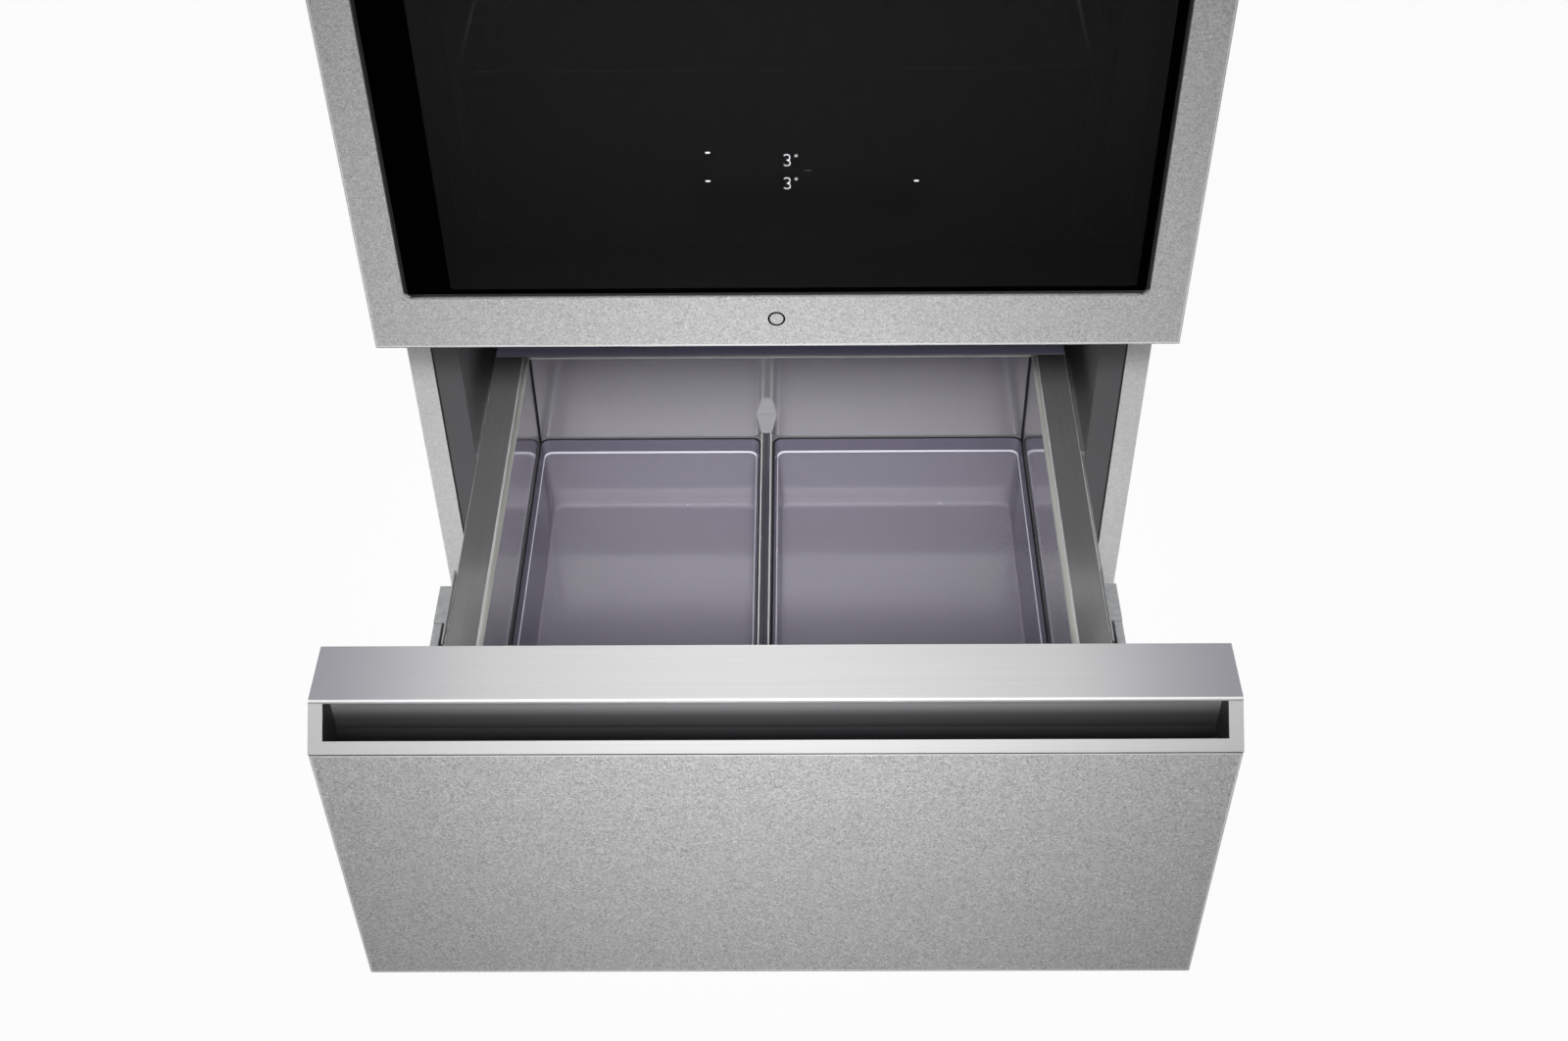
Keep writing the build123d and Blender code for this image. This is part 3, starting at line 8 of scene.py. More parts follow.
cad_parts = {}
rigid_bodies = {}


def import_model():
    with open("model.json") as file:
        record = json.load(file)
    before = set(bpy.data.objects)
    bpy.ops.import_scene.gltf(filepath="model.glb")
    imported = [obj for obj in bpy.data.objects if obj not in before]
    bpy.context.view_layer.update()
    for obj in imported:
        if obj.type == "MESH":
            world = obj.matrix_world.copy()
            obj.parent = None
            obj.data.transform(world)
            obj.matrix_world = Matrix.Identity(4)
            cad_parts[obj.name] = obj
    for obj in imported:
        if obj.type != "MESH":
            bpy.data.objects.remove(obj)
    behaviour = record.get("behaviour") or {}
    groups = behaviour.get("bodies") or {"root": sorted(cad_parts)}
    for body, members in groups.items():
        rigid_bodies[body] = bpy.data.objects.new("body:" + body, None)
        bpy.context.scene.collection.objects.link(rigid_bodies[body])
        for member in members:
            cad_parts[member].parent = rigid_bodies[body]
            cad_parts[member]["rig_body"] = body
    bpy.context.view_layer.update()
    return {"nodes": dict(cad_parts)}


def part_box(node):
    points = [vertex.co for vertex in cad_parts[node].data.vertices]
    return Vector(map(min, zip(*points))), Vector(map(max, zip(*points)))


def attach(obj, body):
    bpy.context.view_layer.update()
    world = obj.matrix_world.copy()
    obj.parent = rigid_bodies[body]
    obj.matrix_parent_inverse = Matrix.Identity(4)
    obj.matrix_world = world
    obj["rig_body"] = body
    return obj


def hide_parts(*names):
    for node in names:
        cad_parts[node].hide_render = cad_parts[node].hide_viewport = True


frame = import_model()
MM = 0.001
scene = bpy.context.scene
scene.view_settings.view_transform = "Standard"


# Camera, at the photograph's viewing angle

def aim_camera():
    """Camera above the open drawer, looking down into it."""
    place = (0.021, -1.472, 1.824)
    yaw = math.radians(-0.75)
    pitch = math.radians(43.91)
    roll = math.radians(-0.77)
    ahead = Vector((math.sin(yaw) * math.cos(pitch), math.cos(yaw) * math.cos(pitch), -math.sin(pitch)))
    right = Vector((math.cos(yaw), -math.sin(yaw), 0))
    up = right.cross(ahead)
    across = right * math.cos(roll) + up * math.sin(roll)
    above = up * math.cos(roll) - right * math.sin(roll)
    lens = bpy.data.cameras.new("view_camera")
    lens.lens = 43.425
    lens.sensor_width = 36
    lens.sensor_fit = "HORIZONTAL"
    camera = bpy.data.objects.new("view_camera", lens)
    turn = Matrix((across, above, -ahead)).transposed().to_4x4()
    camera.matrix_world = Matrix.Translation(place) @ turn
    scene.collection.objects.link(camera)
    scene.camera = camera


# Nodes

def fill(tree, node, inputs):
    """Fills a node's inputs, each from a socket or with a plain value."""
    for label, value in inputs.items():
        if isinstance(value, bpy.types.NodeSocket):
            tree.links.new(value, node.inputs[label])
        else:
            node.inputs[label].default_value = value


def node_in(tree, kind, inputs=None, **settings):
    """New node with its settings, then its inputs."""
    node = tree.nodes.new(kind)
    for name, value in settings.items():
        setattr(node, name, value)
    fill(tree, node, inputs or {})
    return node


def math_in(tree, operation, first, second, clamp=False):
    """Result of a math node, from sockets or numbers."""
    return node_in(tree, "ShaderNodeMath", {0: first, 1: second}, operation=operation, use_clamp=clamp).outputs[0]


# Surface effects that several finishes share

def effect(name, **sizes):
    """New shader group that reads a place and its named sizes, with the sockets that they come from."""
    group = bpy.data.node_groups.new(name, "ShaderNodeTree")
    group.interface.new_socket("Vector", in_out="INPUT", socket_type="NodeSocketVector")
    for label, value in sizes.items():
        kind = "NodeSocketFloat" if isinstance(value, float) else "NodeSocketVector"
        group.interface.new_socket(label, in_out="INPUT", socket_type=kind).default_value = value
    return group, group.nodes.new("NodeGroupInput").outputs


def put_out(group, **results):
    """Ends a shader group with its named results."""
    for label in results:
        group.interface.new_socket(label, in_out="OUTPUT", socket_type="NodeSocketFloat")
    node_in(group, "NodeGroupOutput", results)
    return group


def noise_in(group, place, scale, detail, distortion=0.0):
    """Shade of a noise texture."""
    inputs = {"Vector": place, "Scale": scale, "Detail": detail, "Distortion": distortion}
    return node_in(group, "ShaderNodeTexNoise", inputs).outputs["Fac"]


def lifted(group, shade, low, gain):
    """Shade with more contrast, from 0 at its low value to 1."""
    return math_in(group, "MULTIPLY", math_in(group, "SUBTRACT", shade, low), gain, clamp=True)


def curled_grain_effect():
    """Fine curly scratches without a direction, as on a vibration finish."""
    group, given = effect("curled_grain", Scale=300.0)
    speck_scale = math_in(group, "MULTIPLY", given["Scale"], 3.1)
    curl = lifted(group, noise_in(group, given["Vector"], given["Scale"], 3.0, 2.6), 0.38, 4.6)
    speck = lifted(group, noise_in(group, given["Vector"], speck_scale, 1.0), 0.30, 2.5)
    both = math_in(group, "ADD", math_in(group, "MULTIPLY", curl, 0.7), math_in(group, "MULTIPLY", speck, 0.3))
    return put_out(group, Shade=both, Height=both)


def brushed_lines_effect():
    """Fine parallel lines; the stretch gives the lines per metre along each axis."""
    group, given = effect("brushed_lines", Stretch=(3.0, 900.0, 900.0))
    place = node_in(group, "ShaderNodeMapping", {"Vector": given["Vector"], "Scale": given["Stretch"]})
    lines = noise_in(group, place.outputs["Vector"], 1.0, 3.0)
    return put_out(group, Shade=lifted(group, lines, 0.3, 2.5), Height=lines)


def moulded_skin_effect():
    """Very fine dimples of moulded plastic and powder paint."""
    group, given = effect("moulded_skin", Scale=700.0)
    inputs = {"Vector": given["Vector"], "Scale": given["Scale"]}
    cells = node_in(group, "ShaderNodeTexVoronoi", inputs, feature="SMOOTH_F1")
    grain = noise_in(group, given["Vector"], math_in(group, "MULTIPLY", given["Scale"], 0.6), 2.0)
    return put_out(group, Shade=grain, Height=math_in(group, "ADD", cells.outputs["Distance"], grain))


def soft_patches_effect():
    """Broad faint patches, from handling and cleaning."""
    group, given = effect("soft_patches", Scale=5.0)
    cloud = noise_in(group, given["Vector"], given["Scale"], 4.0, 0.6)
    return put_out(group, Shade=lifted(group, cloud, 0.3, 2.5))


def smooth_rise(group, value, low, high):
    """Ends a group with a shade that rises smoothly from 0 to 1 while a value goes from low to high."""
    inputs = {"Value": value, "From Min": low, "From Max": high}
    rise = node_in(group, "ShaderNodeMapRange", inputs, interpolation_type="SMOOTHSTEP")
    return put_out(group, Shade=rise.outputs["Result"])


def depth_shade_effect():
    """Rises from 0 to 1 along the height, between two levels."""
    group, given = effect("depth_shade", Low=0.0, High=1.0)
    split = node_in(group, "ShaderNodeSeparateXYZ", {"Vector": given["Vector"]})
    return smooth_rise(group, split.outputs["Z"], given["Low"], given["High"])


def end_shade_effect():
    """Rises from 0 in the middle to 1 towards both ends across."""
    group, given = effect("end_shade", Start=0.1, End=0.35)
    split = node_in(group, "ShaderNodeSeparateXYZ", {"Vector": given["Vector"]})
    away = node_in(group, "ShaderNodeMath", {0: split.outputs["X"]}, operation="ABSOLUTE")
    return smooth_rise(group, away.outputs[0], given["Start"], given["End"])


grain_effects = {
    "curled": curled_grain_effect(),
    "lines": brushed_lines_effect(),
    "moulded": moulded_skin_effect(),
}
patch_effect = soft_patches_effect()
depth_effect = depth_shade_effect()
end_effect = end_shade_effect()


# Finishes

def tone(colour, factor):
    """Colour scaled in brightness, with full alpha."""
    return tuple(min(1.0, channel * factor) for channel in colour) + (1.0,)


def shader_of(material):
    """Main shader of a material."""
    return material.node_tree.nodes["Principled BSDF"]


def finish(name, colour, roughness, metallic=0.0, grain=("moulded", 700.0), spread=0.05, relief=0.05, patch=0.06):
    """Opaque finish with its grain in colour, roughness and relief."""
    material = bpy.data.materials.new("finish_" + name)
    material.use_nodes = True
    tree = material.node_tree
    place = node_in(tree, "ShaderNodeTexCoord").outputs["Object"]
    kind, size = grain
    size_label = "Stretch" if kind == "lines" else "Scale"
    pattern = node_in(tree, "ShaderNodeGroup", {"Vector": place, size_label: size}, node_tree=grain_effects[kind])
    patches = node_in(tree, "ShaderNodeGroup", {"Vector": place}, node_tree=patch_effect)
    tones = {"A": tone(colour, 1 - spread), "B": tone(colour, 1 + spread), "Factor": pattern.outputs["Shade"]}
    shades = node_in(tree, "ShaderNodeMix", tones, data_type="RGBA")
    levels = {"To Min": roughness - patch / 2, "To Max": roughness + patch / 2}
    gloss = node_in(tree, "ShaderNodeMapRange", {"Value": patches.outputs["Shade"], **levels})
    dents = {"Strength": relief, "Distance": 0.2 * MM, "Height": pattern.outputs["Height"]}
    bump = node_in(tree, "ShaderNodeBump", dents)
    looks = {"Metallic": metallic, "Base Color": shades.outputs["Result"]}
    looks.update({"Roughness": gloss.outputs["Result"], "Normal": bump.outputs["Normal"]})
    fill(tree, shader_of(material), looks)
    return material


def clear_finish(name, colour, faced, edge_on, roughness=0.08, specular=0.5):
    """See-through finish that is less clear where it is seen edge on."""
    material = finish(name, colour, roughness, grain=("moulded", 300.0), spread=0.04, relief=0.02, patch=0.04)
    tree = material.node_tree
    rim = node_in(tree, "ShaderNodeLayerWeight", {"Blend": 0.35}).outputs["Facing"]
    closing = node_in(tree, "ShaderNodeMapRange", {"Value": rim, "To Min": faced, "To Max": edge_on})
    fill(tree, shader_of(material), {"Specular IOR Level": specular, "Alpha": closing.outputs["Result"]})
    return material


def blend_into(material, group, sizes, colour, low_share, high_share):
    """Blends a finish into another colour, by the shade of an effect group."""
    tree = material.node_tree
    base = shader_of(material).inputs["Base Color"]
    place = node_in(tree, "ShaderNodeTexCoord").outputs["Object"]
    shade = node_in(tree, "ShaderNodeGroup", {"Vector": place, **sizes}, node_tree=group).outputs["Shade"]
    share = node_in(tree, "ShaderNodeMapRange", {"Value": shade, "To Min": low_share, "To Max": high_share})
    colours = {"Factor": share.outputs["Result"], "A": base.links[0].from_socket, "B": (*colour, 1)}
    mixed = node_in(tree, "ShaderNodeMix", colours, data_type="RGBA")
    tree.links.new(mixed.outputs["Result"], base)


def light_up(material, colour, strength):
    """Adds the same light all over to a finish."""
    fill(material.node_tree, shader_of(material), {"Emission Color": (*colour, 1), "Emission Strength": strength})


def grey(level):
    """Neutral colour."""
    return (level, level, level)


upright = ("lines", (900.0, 900.0, 4.0))
crosswise = ("lines", (4.0, 900.0, 900.0))
inward = ("lines", (900.0, 4.0, 900.0))
metal_finishes = {
    # name: (colour, roughness, metallic, grain, spread, relief)
    # textured_steel and drawer_texture are one steel, toned apart as painted light for how light falls on the door
    # and the drawer fronts
    "textured_steel": (grey(0.57), 0.48, 0.10, ("curled", 330.0), 0.34, 0.38),
    "drawer_texture": (grey(0.52), 0.50, 0.10, ("curled", 320.0), 0.44, 0.42),
    "rail_steel": ((0.57, 0.57, 0.575), 0.45, 0.05, crosswise, 0.04, 0.08),
    # painted light: the rail steel toned apart for how light falls on the sloping band
    "bevel_steel": (grey(0.545), 0.32, 0.05, crosswise, 0.03, 0.06),
    # painted highlight: near-white lines on rounded edges and narrow strips, where light catches them
    "polished_edge": (grey(0.95), 0.25, 0.1, crosswise, 0.02, 0.05),
    # painted shade on the end faces of the handle recess
    "recess_end": ((0.05, 0.05, 0.052), 0.4, 0.1, inward, 0.1, 0.05),
    # painted shade on the rounded outer edges of the door and drawer fronts
    "edge_shadow": (grey(0.16), 0.4, 0.1, crosswise, 0.05, 0.05),
    "cabinet_steel": (grey(0.76), 0.42, 0.3, ("curled", 240.0), 0.12, 0.10),
    "zinc_steel": ((0.46, 0.47, 0.48), 0.42, 0.7, ("curled", 60.0), 0.10, 0.05),
    "grey_steel": ((0.30, 0.30, 0.305), 0.20, 0.62, inward, 0.05, 0.06),
    "box_steel": ((0.70, 0.69, 0.70), 0.12, 0.8, crosswise, 0.03, 0.03),
    # painted sheen: bluish light tone on the frame's rear bar
    "rear_bar": ((0.62, 0.62, 0.86), 0.3, 0.1, crosswise, 0.03, 0.03),
    # painted light: the box steel toned paler and less mirror-like for its hem
    "hem_steel": ((0.40, 0.40, 0.38), 0.3, 0.2, inward, 0.03, 0.03),
    # painted highlight on rims and edges
    "rim_steel": (grey(0.72), 0.3, 0.2, inward, 0.03, 0.03),
    "hinge_steel": ((0.30, 0.30, 0.31), 0.38, 0.9, ("curled", 200.0), 0.05, 0.06),
    "condenser_metal": ((0.10, 0.10, 0.11), 0.4, 0.5, ("moulded", 400.0), 0.05, 0.05),
    "bare_aluminium": ((0.72, 0.73, 0.74), 0.3, 1.0, upright, 0.05, 0.05),
    "shelf_trim": ((0.42, 0.42, 0.44), 0.3, 0.3, crosswise, 0.05, 0.04),
    "screw_steel": ((0.50, 0.50, 0.51), 0.3, 0.9, ("curled", 400.0), 0.05, 0.04),
}
moulded_finishes = {
    # name: (colour, roughness, dimples per metre, relief)
    "black_steel": (grey(0.03), 0.25, 300.0, 0.08),
    "insulation": ((0.020, 0.020, 0.022), 0.5, 500.0, 0.08),
    "foamed_frame": ((0.030, 0.030, 0.033), 0.38, 800.0, 0.06),
    "fridge_liner": ((0.17, 0.17, 0.18), 0.32, 700.0, 0.04),
    "drawer_liner": ((0.10, 0.10, 0.105), 0.30, 700.0, 0.04),
    # painted light: the drawer liner made paler on its walls, which lie in shade
    "liner_wall": ((0.50, 0.50, 0.51), 0.34, 700.0, 0.04),
    "liner_plastic": ((0.24, 0.24, 0.25), 0.36, 700.0, 0.05),
    "dark_plastic": ((0.028, 0.028, 0.030), 0.42, 800.0, 0.12),
    "divider_plastic": ((0.055, 0.053, 0.066), 0.12, 600.0, 0.02),
    "divider_clip": ((0.30, 0.30, 0.315), 0.28, 600.0, 0.04),
    "lamp_plastic": ((0.85, 0.85, 0.84), 0.3, 400.0, 0.03),
    "display_black": ((0.006, 0.006, 0.007), 0.12, 300.0, 0.02),
    "glass_print": (grey(0.0006), 0.8, 300.0, 0.0),
    "ring_black": (grey(0.004), 0.6, 300.0, 0.0),
    "gasket_rubber": ((0.05, 0.05, 0.055), 0.55, 900.0, 0.1),
    "marks_light": (grey(0.9), 0.4, 300.0, 0.0),
    "marks_dim": ((0.06, 0.06, 0.063), 0.4, 300.0, 0.0),
    # painted shadow in joints, corners and creases
    "seam_shadow": ((0.010, 0.010, 0.011), 0.6, 300.0, 0.0),
}
clear_finishes = {
    # name: (colour, alpha where it is faced, alpha edge on, roughness, specular level)
    "clear_plastic": ((0.30, 0.28, 0.34), 0.16, 0.66, 0.08, 0.5),
    "bin_plastic": ((0.34, 0.32, 0.40), 0.26, 0.70, 0.08, 0.5),
    # painted shade: the clear plastic darker and less clear on the bin collars
    "bin_collar": ((0.13, 0.12, 0.17), 0.62, 0.9, 0.08, 0.5),
    # painted highlight on the rims of bins and baskets
    "clear_edge": ((0.78, 0.77, 0.84), 0.72, 0.95, 0.08, 0.5),
    "tinted_glass": ((0.0005, 0.0005, 0.0006), 0.08, 0.30, 0.03, 0.02),
    # painted veil for the dim inside seen through the door glass
    "glass_film": ((0.0435, 0.0427, 0.0452), 0.42, 0.62, 0.3, 0.0),
    "clear_glass": ((0.30, 0.34, 0.34), 0.06, 0.45, 0.03, 0.3),
    "shelf_glass": ((0.45, 0.55, 0.53), 0.14, 0.80, 0.04, 0.5),
}
finishes = {name: finish(name, *values) for name, values in metal_finishes.items()}
for name, (colour, roughness, size, relief) in moulded_finishes.items():
    finishes[name] = finish(name, colour, roughness, grain=("moulded", size), relief=relief)
for name, values in clear_finishes.items():
    finishes[name] = clear_finish(name, *values)
# painted shade and reflection: the rail steel turns darker and bluish towards both ends
rail_painted_shade_ends = {"Start": 0.20, "End": 0.36}
blend_into(finishes["rail_steel"], end_effect, rail_painted_shade_ends, (0.32, 0.315, 0.36), 0.0, 0.85)
glass_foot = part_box("door_glass")[0].z
# painted shade: the veil darkens towards the foot of the glass
painted_veil_shade_levels = {"Low": glass_foot, "High": glass_foot + 0.3}
blend_into(finishes["glass_film"], depth_effect, painted_veil_shade_levels, (0.0190, 0.0187, 0.0197), 1.0, 0.0)
light_up(finishes["lamp_plastic"], (1.0, 0.97, 0.93), 1.5)
light_up(finishes["marks_light"], (1.0, 1.0, 1.0), 1.7)
for name in ("glass_print", "ring_black"):
    shader_of(finishes[name]).inputs["Specular IOR Level"].default_value = 0.0


# Which finish each CAD piece wears

drawer_finishes = {
    "front_panel": "drawer_texture",
    "handle_rail": "rail_steel",
    "front_core": "foamed_frame",
    "drawer_gasket": "gasket_rubber",
    "drawer_frame": "grey_steel",
    "steel_box": "box_steel",
    "clear_bins": "clear_plastic",
    "moving_rails": "zinc_steel",
    "middle_rails": "zinc_steel",
}
other_finishes = {
    "textured_steel": ["door_frame"],
    "cabinet_steel": ["cabinet_shell"],
    "zinc_steel": ["back_panel", "base_frame", "machine_cover", "fixed_rails"],
    "insulation": ["foam_body", "upper_mullion", "lower_mullion"],
    "foamed_frame": ["door_inner_frame"],
    "fridge_liner": ["fridge_liner"],
    "drawer_liner": ["upper_drawer_liner", "lower_drawer_liner"],
    "liner_plastic": ["evaporator_cover", "duct_cover"],
    "black_steel": ["compressor"],
    "condenser_metal": ["condenser"],
    "bare_aluminium": ["evaporator"],
    "hinge_steel": ["hinge_brackets"],
    "lamp_plastic": ["light_strips"],
    "shelf_glass": ["glass_shelves"],
    "shelf_trim": ["shelf_trims"],
    "tinted_glass": ["door_glass"],
    "clear_glass": ["door_inner_glass"],
    "gasket_rubber": ["door_gasket"],
    "clear_plastic": ["lower_door_basket", "middle_door_basket", "upper_door_basket"],
    "display_black": ["display_panel"],
    "ring_black": ["sensor_ring"],
    "divider_plastic": ["upper_box_divider"],
    "dark_plastic": [
        "kick_plate", "hinge_cover", "control_box", "drain_pan", "power_inlet", "condenser_fan_shroud",
        "left_levelling_foot", "right_levelling_foot", "rear_rollers", "condenser_fan", "evaporator_fan",
    ],
}


def wear(thing, name):
    """Gives a piece one finish; a new mesh keeps the rows that are marked for its other ones."""
    if len(thing.data.materials):
        thing.data.materials.clear()
    thing.data.materials.append(finishes[name])


node_finish = {node: name for name, nodes in other_finishes.items() for node in nodes}
for label in ("lower", "upper"):
    for suffix, finish_name in drawer_finishes.items():
        node_finish[f"{label}_{suffix}"] = finish_name
for node_name, finish_name in node_finish.items():
    wear(frame["nodes"][node_name], finish_name)


# Making pieces

def put(name, mesh, body, finish_name, stands_for=(), angle=32):
    """Puts a mesh in the scene as a piece on its body."""
    thing = bpy.data.objects.new(name, mesh)
    scene.collection.objects.link(thing)
    if angle:
        mesh.shade_smooth()
        mesh.set_sharp_from_angle(angle=math.radians(angle))
    if finish_name:
        wear(thing, finish_name)
    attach(thing, body)
    if stands_for:
        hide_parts(*stands_for)
    return thing


def mesh_of(name, shape, turn_out=True):
    """Plain mesh from a bmesh, with its faces turned outwards unless they face their way already."""
    if turn_out:
        bmesh.ops.recalc_face_normals(shape, faces=shape.faces)
    mesh = bpy.data.meshes.new(name)
    shape.to_mesh(mesh)
    shape.free()
    return mesh


def worked_out(thing):
    """Plain mesh of a helper object with its modifiers; the object is removed."""
    bpy.context.view_layer.update()
    made = bpy.data.meshes.new_from_object(thing.evaluated_get(bpy.context.evaluated_depsgraph_get()))
    bpy.data.objects.remove(thing)
    return made


def cleaned(node):
    """Copy of a CAD piece's mesh with its loose triangles joined into faces."""
    same_point = 0.002 * MM
    same_plane = math.radians(0.5)
    shape = bmesh.new()
    shape.from_mesh(frame["nodes"][node].data)
    bmesh.ops.remove_doubles(shape, verts=shape.verts, dist=same_point)
    bmesh.ops.dissolve_limit(
        shape, angle_limit=same_plane, verts=shape.verts, edges=shape.edges, delimit={"NORMAL"}
    )
    return shape


def face_depth(face, edge):
    """How far a face reaches inwards from the middle of one of its edges."""
    first, second = (point.co for point in edge.verts)
    middle = (first + second) / 2
    along = (second - first).normalized()
    inward = face.normal.cross(along)
    for loop in face.loops:
        if loop.edge == edge and loop.vert != edge.verts[0]:
            inward.negate()
    depth = 1.0
    for other in face.edges:
        start, stop = (point.co - middle for point in other.verts)
        before, after = start.dot(along), stop.dot(along)
        if other == edge or (before > 0) == (after > 0):
            continue
        reach = start.lerp(stop, before / (before - after)).dot(inward)
        if reach > 1e-6:
            depth = min(depth, reach)
    return depth


def weigh_edges(shape, width):
    """Marks the sharp edges between faces that are wide enough to be rounded."""
    sharp = math.radians(25)
    least_depth = 2.4 * width
    weights = shape.edges.layers.float.new("bevel_weight_edge")
    for edge in shape.edges:
        if len(edge.link_faces) != 2 or edge.calc_face_angle(0) < sharp:
            continue
        if min(face_depth(face, edge) for face in edge.link_faces) > least_depth:
            edge[weights] = 1.0


def softened(node, width, steps=2, edge_finish=None, shape=None):
    """Copy of a CAD piece with rounded edges, which stands for it."""
    shape = shape or cleaned(node)
    weigh_edges(shape, width)
    mesh = mesh_of(node + "_soft", shape, turn_out=False)
    mesh.shade_smooth()
    worn = node_finish[node]
    for name in (worn, edge_finish):
        if name:
            mesh.materials.append(finishes[name])
    thing = bpy.data.objects.new(node + "_soft", mesh)
    scene.collection.objects.link(thing)
    rounding = thing.modifiers.new("edges", "BEVEL")
    rounding.width = width
    rounding.segments = steps
    rounding.limit_method = "WEIGHT"
    rounding.use_clamp_overlap = True
    rounding.material = 1 if edge_finish else -1
    shading = thing.modifiers.new("shading", "WEIGHTED_NORMAL")
    shading.mode = "FACE_AREA"
    shading.keep_sharp = True
    made = worked_out(thing)
    made.name = node + "_soft"
    return put(node + "_soft", made, frame["nodes"][node]["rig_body"], None, [node], angle=None)


def cut_level(shape, point, facing):
    """Cuts all faces of a shape along a plane."""
    geometry = list(shape.verts) + list(shape.edges) + list(shape.faces)
    bmesh.ops.bisect_plane(shape, geom=geometry, plane_co=point, plane_no=facing)


def round_ring(half_x, half_y, corner, z, steps=5):
    """Rounded rectangle about the origin, as points at one height."""
    points = []
    for quarter in range(4):
        sign_x = 1 if quarter in (0, 3) else -1
        sign_y = 1 if quarter in (0, 1) else -1
        x, y = sign_x * (half_x - corner), sign_y * (half_y - corner)
        for step in range(steps + 1):
            turn = math.radians(90 * quarter + 90 * step / steps)
            points.append(Vector((x + corner * math.cos(turn), y + corner * math.sin(turn), z)))
    return points


def upright_ring(sides, corner, y):
    """Rounded rectangle that faces the front, between (left, right, foot, top)."""
    left, right, foot, top = sides
    center = Vector(((left + right) / 2, y, (foot + top) / 2))
    flat = round_ring((right - left) / 2, (top - foot) / 2, corner, 0)
    return [center + Vector((point.x, 0, point.y)) for point in flat]


def loft(shape, rings, row_finish=None, closed=False):
    """Skin through rings of equally many points, its ends closed; rows may have a finish of their own."""
    rows = [[shape.verts.new(point) for point in ring] for ring in rings]
    pairs = list(zip(rows, rows[1:]))
    if closed:
        pairs.append((rows[-1], rows[0]))
    for row, (low, high) in enumerate(pairs):
        count = len(low)
        for index in range(count):
            corners = (low[index], low[(index + 1) % count], high[(index + 1) % count], high[index])
            shape.faces.new(corners).material_index = (row_finish or {}).get(row, 0)
    if not closed:
        shape.faces.new(list(reversed(rows[0])))
        shape.faces.new(rows[-1])


def tray(shape, middle, half, low, high, corner, taper, wall, lip, bead):
    """Open tray with a rounded foot, tapering walls and a rolled lip."""
    foot = 5 * MM
    profile = [
        (taper + foot, low),
        (taper + foot * 0.4, low + foot * 0.2),
        (taper + foot * 0.08, low + foot * 0.6),
        (taper, low + foot),
        (0.0, high - bead),
        (-lip, high - bead),
        (-lip - 0.2 * MM, high - bead / 2),
        (-lip, high),
        (wall - 0.4 * MM, high),
        (wall, high - 0.4 * MM),
        (wall + taper, low + foot),
        (wall + taper + foot * 0.3, low + wall + foot * 0.3),
        (wall + taper + foot, low + wall),
    ]
    rings = []
    for inset, z in profile:
        ring = round_ring(half[0] - inset, half[1] - inset, max(corner - inset * 0.8, 1.0 * MM), z)
        rings.append([point + Vector((middle[0], middle[1], 0)) for point in ring])
    # the rows of the rolled lip take the second finish, a painted highlight
    loft(shape, rings, {5: 1, 6: 1, 7: 1})


# Door baskets and drawer bins

def door_baskets():
    """Clear baskets with rounded corners and a rolled lip."""
    for level in ("lower", "middle", "upper"):
        node = f"{level}_door_basket"
        low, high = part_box(node)
        shape = bmesh.new()
        middle = ((low.x + high.x) / 2, (low.y + high.y) / 2)
        half = ((high.x - low.x) / 2 - 1.2 * MM, (high.y - low.y) / 2 - 1.2 * MM)
        tray(shape, middle, half, low.z, high.z, 13 * MM, 1.5 * MM, 2.4 * MM, 1.0 * MM, 5 * MM)
        thing = put(node + "_moulded", mesh_of(node, shape), "door", "clear_plastic", [node])
        thing.data.materials.append(finishes["clear_edge"])


bin_sheet = 2 * MM
bin_flange = 3 * MM
bin_taper = 4 * MM
bin_collar = 7 * MM
bin_collar_drop = 12 * MM
bin_corner = 8 * MM


def bin_rings(middle, half, low, high):
    """Rings of a bin, from its foot over the flared collar and down inside."""
    foot = 4 * MM
    collar = high - bin_collar_drop
    line = 0.9 * MM

    def wall(start, rounding, z):
        """Insets across and inwards, and the level, of a ring below the collar."""
        inset = start + bin_taper + foot * rounding
        return bin_flange + inset, bin_collar + inset, z

    profile = [
        wall(0, 1, low),
        wall(0, 0.3, low + foot * 0.3),
        wall(0, 0, low + foot),
        (bin_flange, bin_collar, collar),
        (0.2 * MM, 0.2 * MM, high - 0.6 * MM),
        (0.4 * MM, 0.4 * MM, high),
        (bin_sheet - 0.4 * MM, bin_sheet - 0.4 * MM, high),
        (bin_sheet, bin_sheet, high - 0.6 * MM),
        (bin_sheet + bin_flange - 0.5 * MM, bin_sheet + bin_collar - 1.2 * MM, collar + line),
        (bin_sheet + bin_flange + 0.4 * MM, bin_sheet + bin_collar + 0.9 * MM, collar),
        wall(bin_sheet, 0, low + foot),
        wall(bin_sheet, 0.4, low + foot * 0.6),
        wall(bin_sheet, 1, low + bin_sheet),
    ]
    for inset_x, inset_y, z in profile:
        ring = round_ring(half[0] - inset_x, half[1] - inset_y, bin_corner, z)
        yield [point + Vector((middle[0], middle[1], 0)) for point in ring]


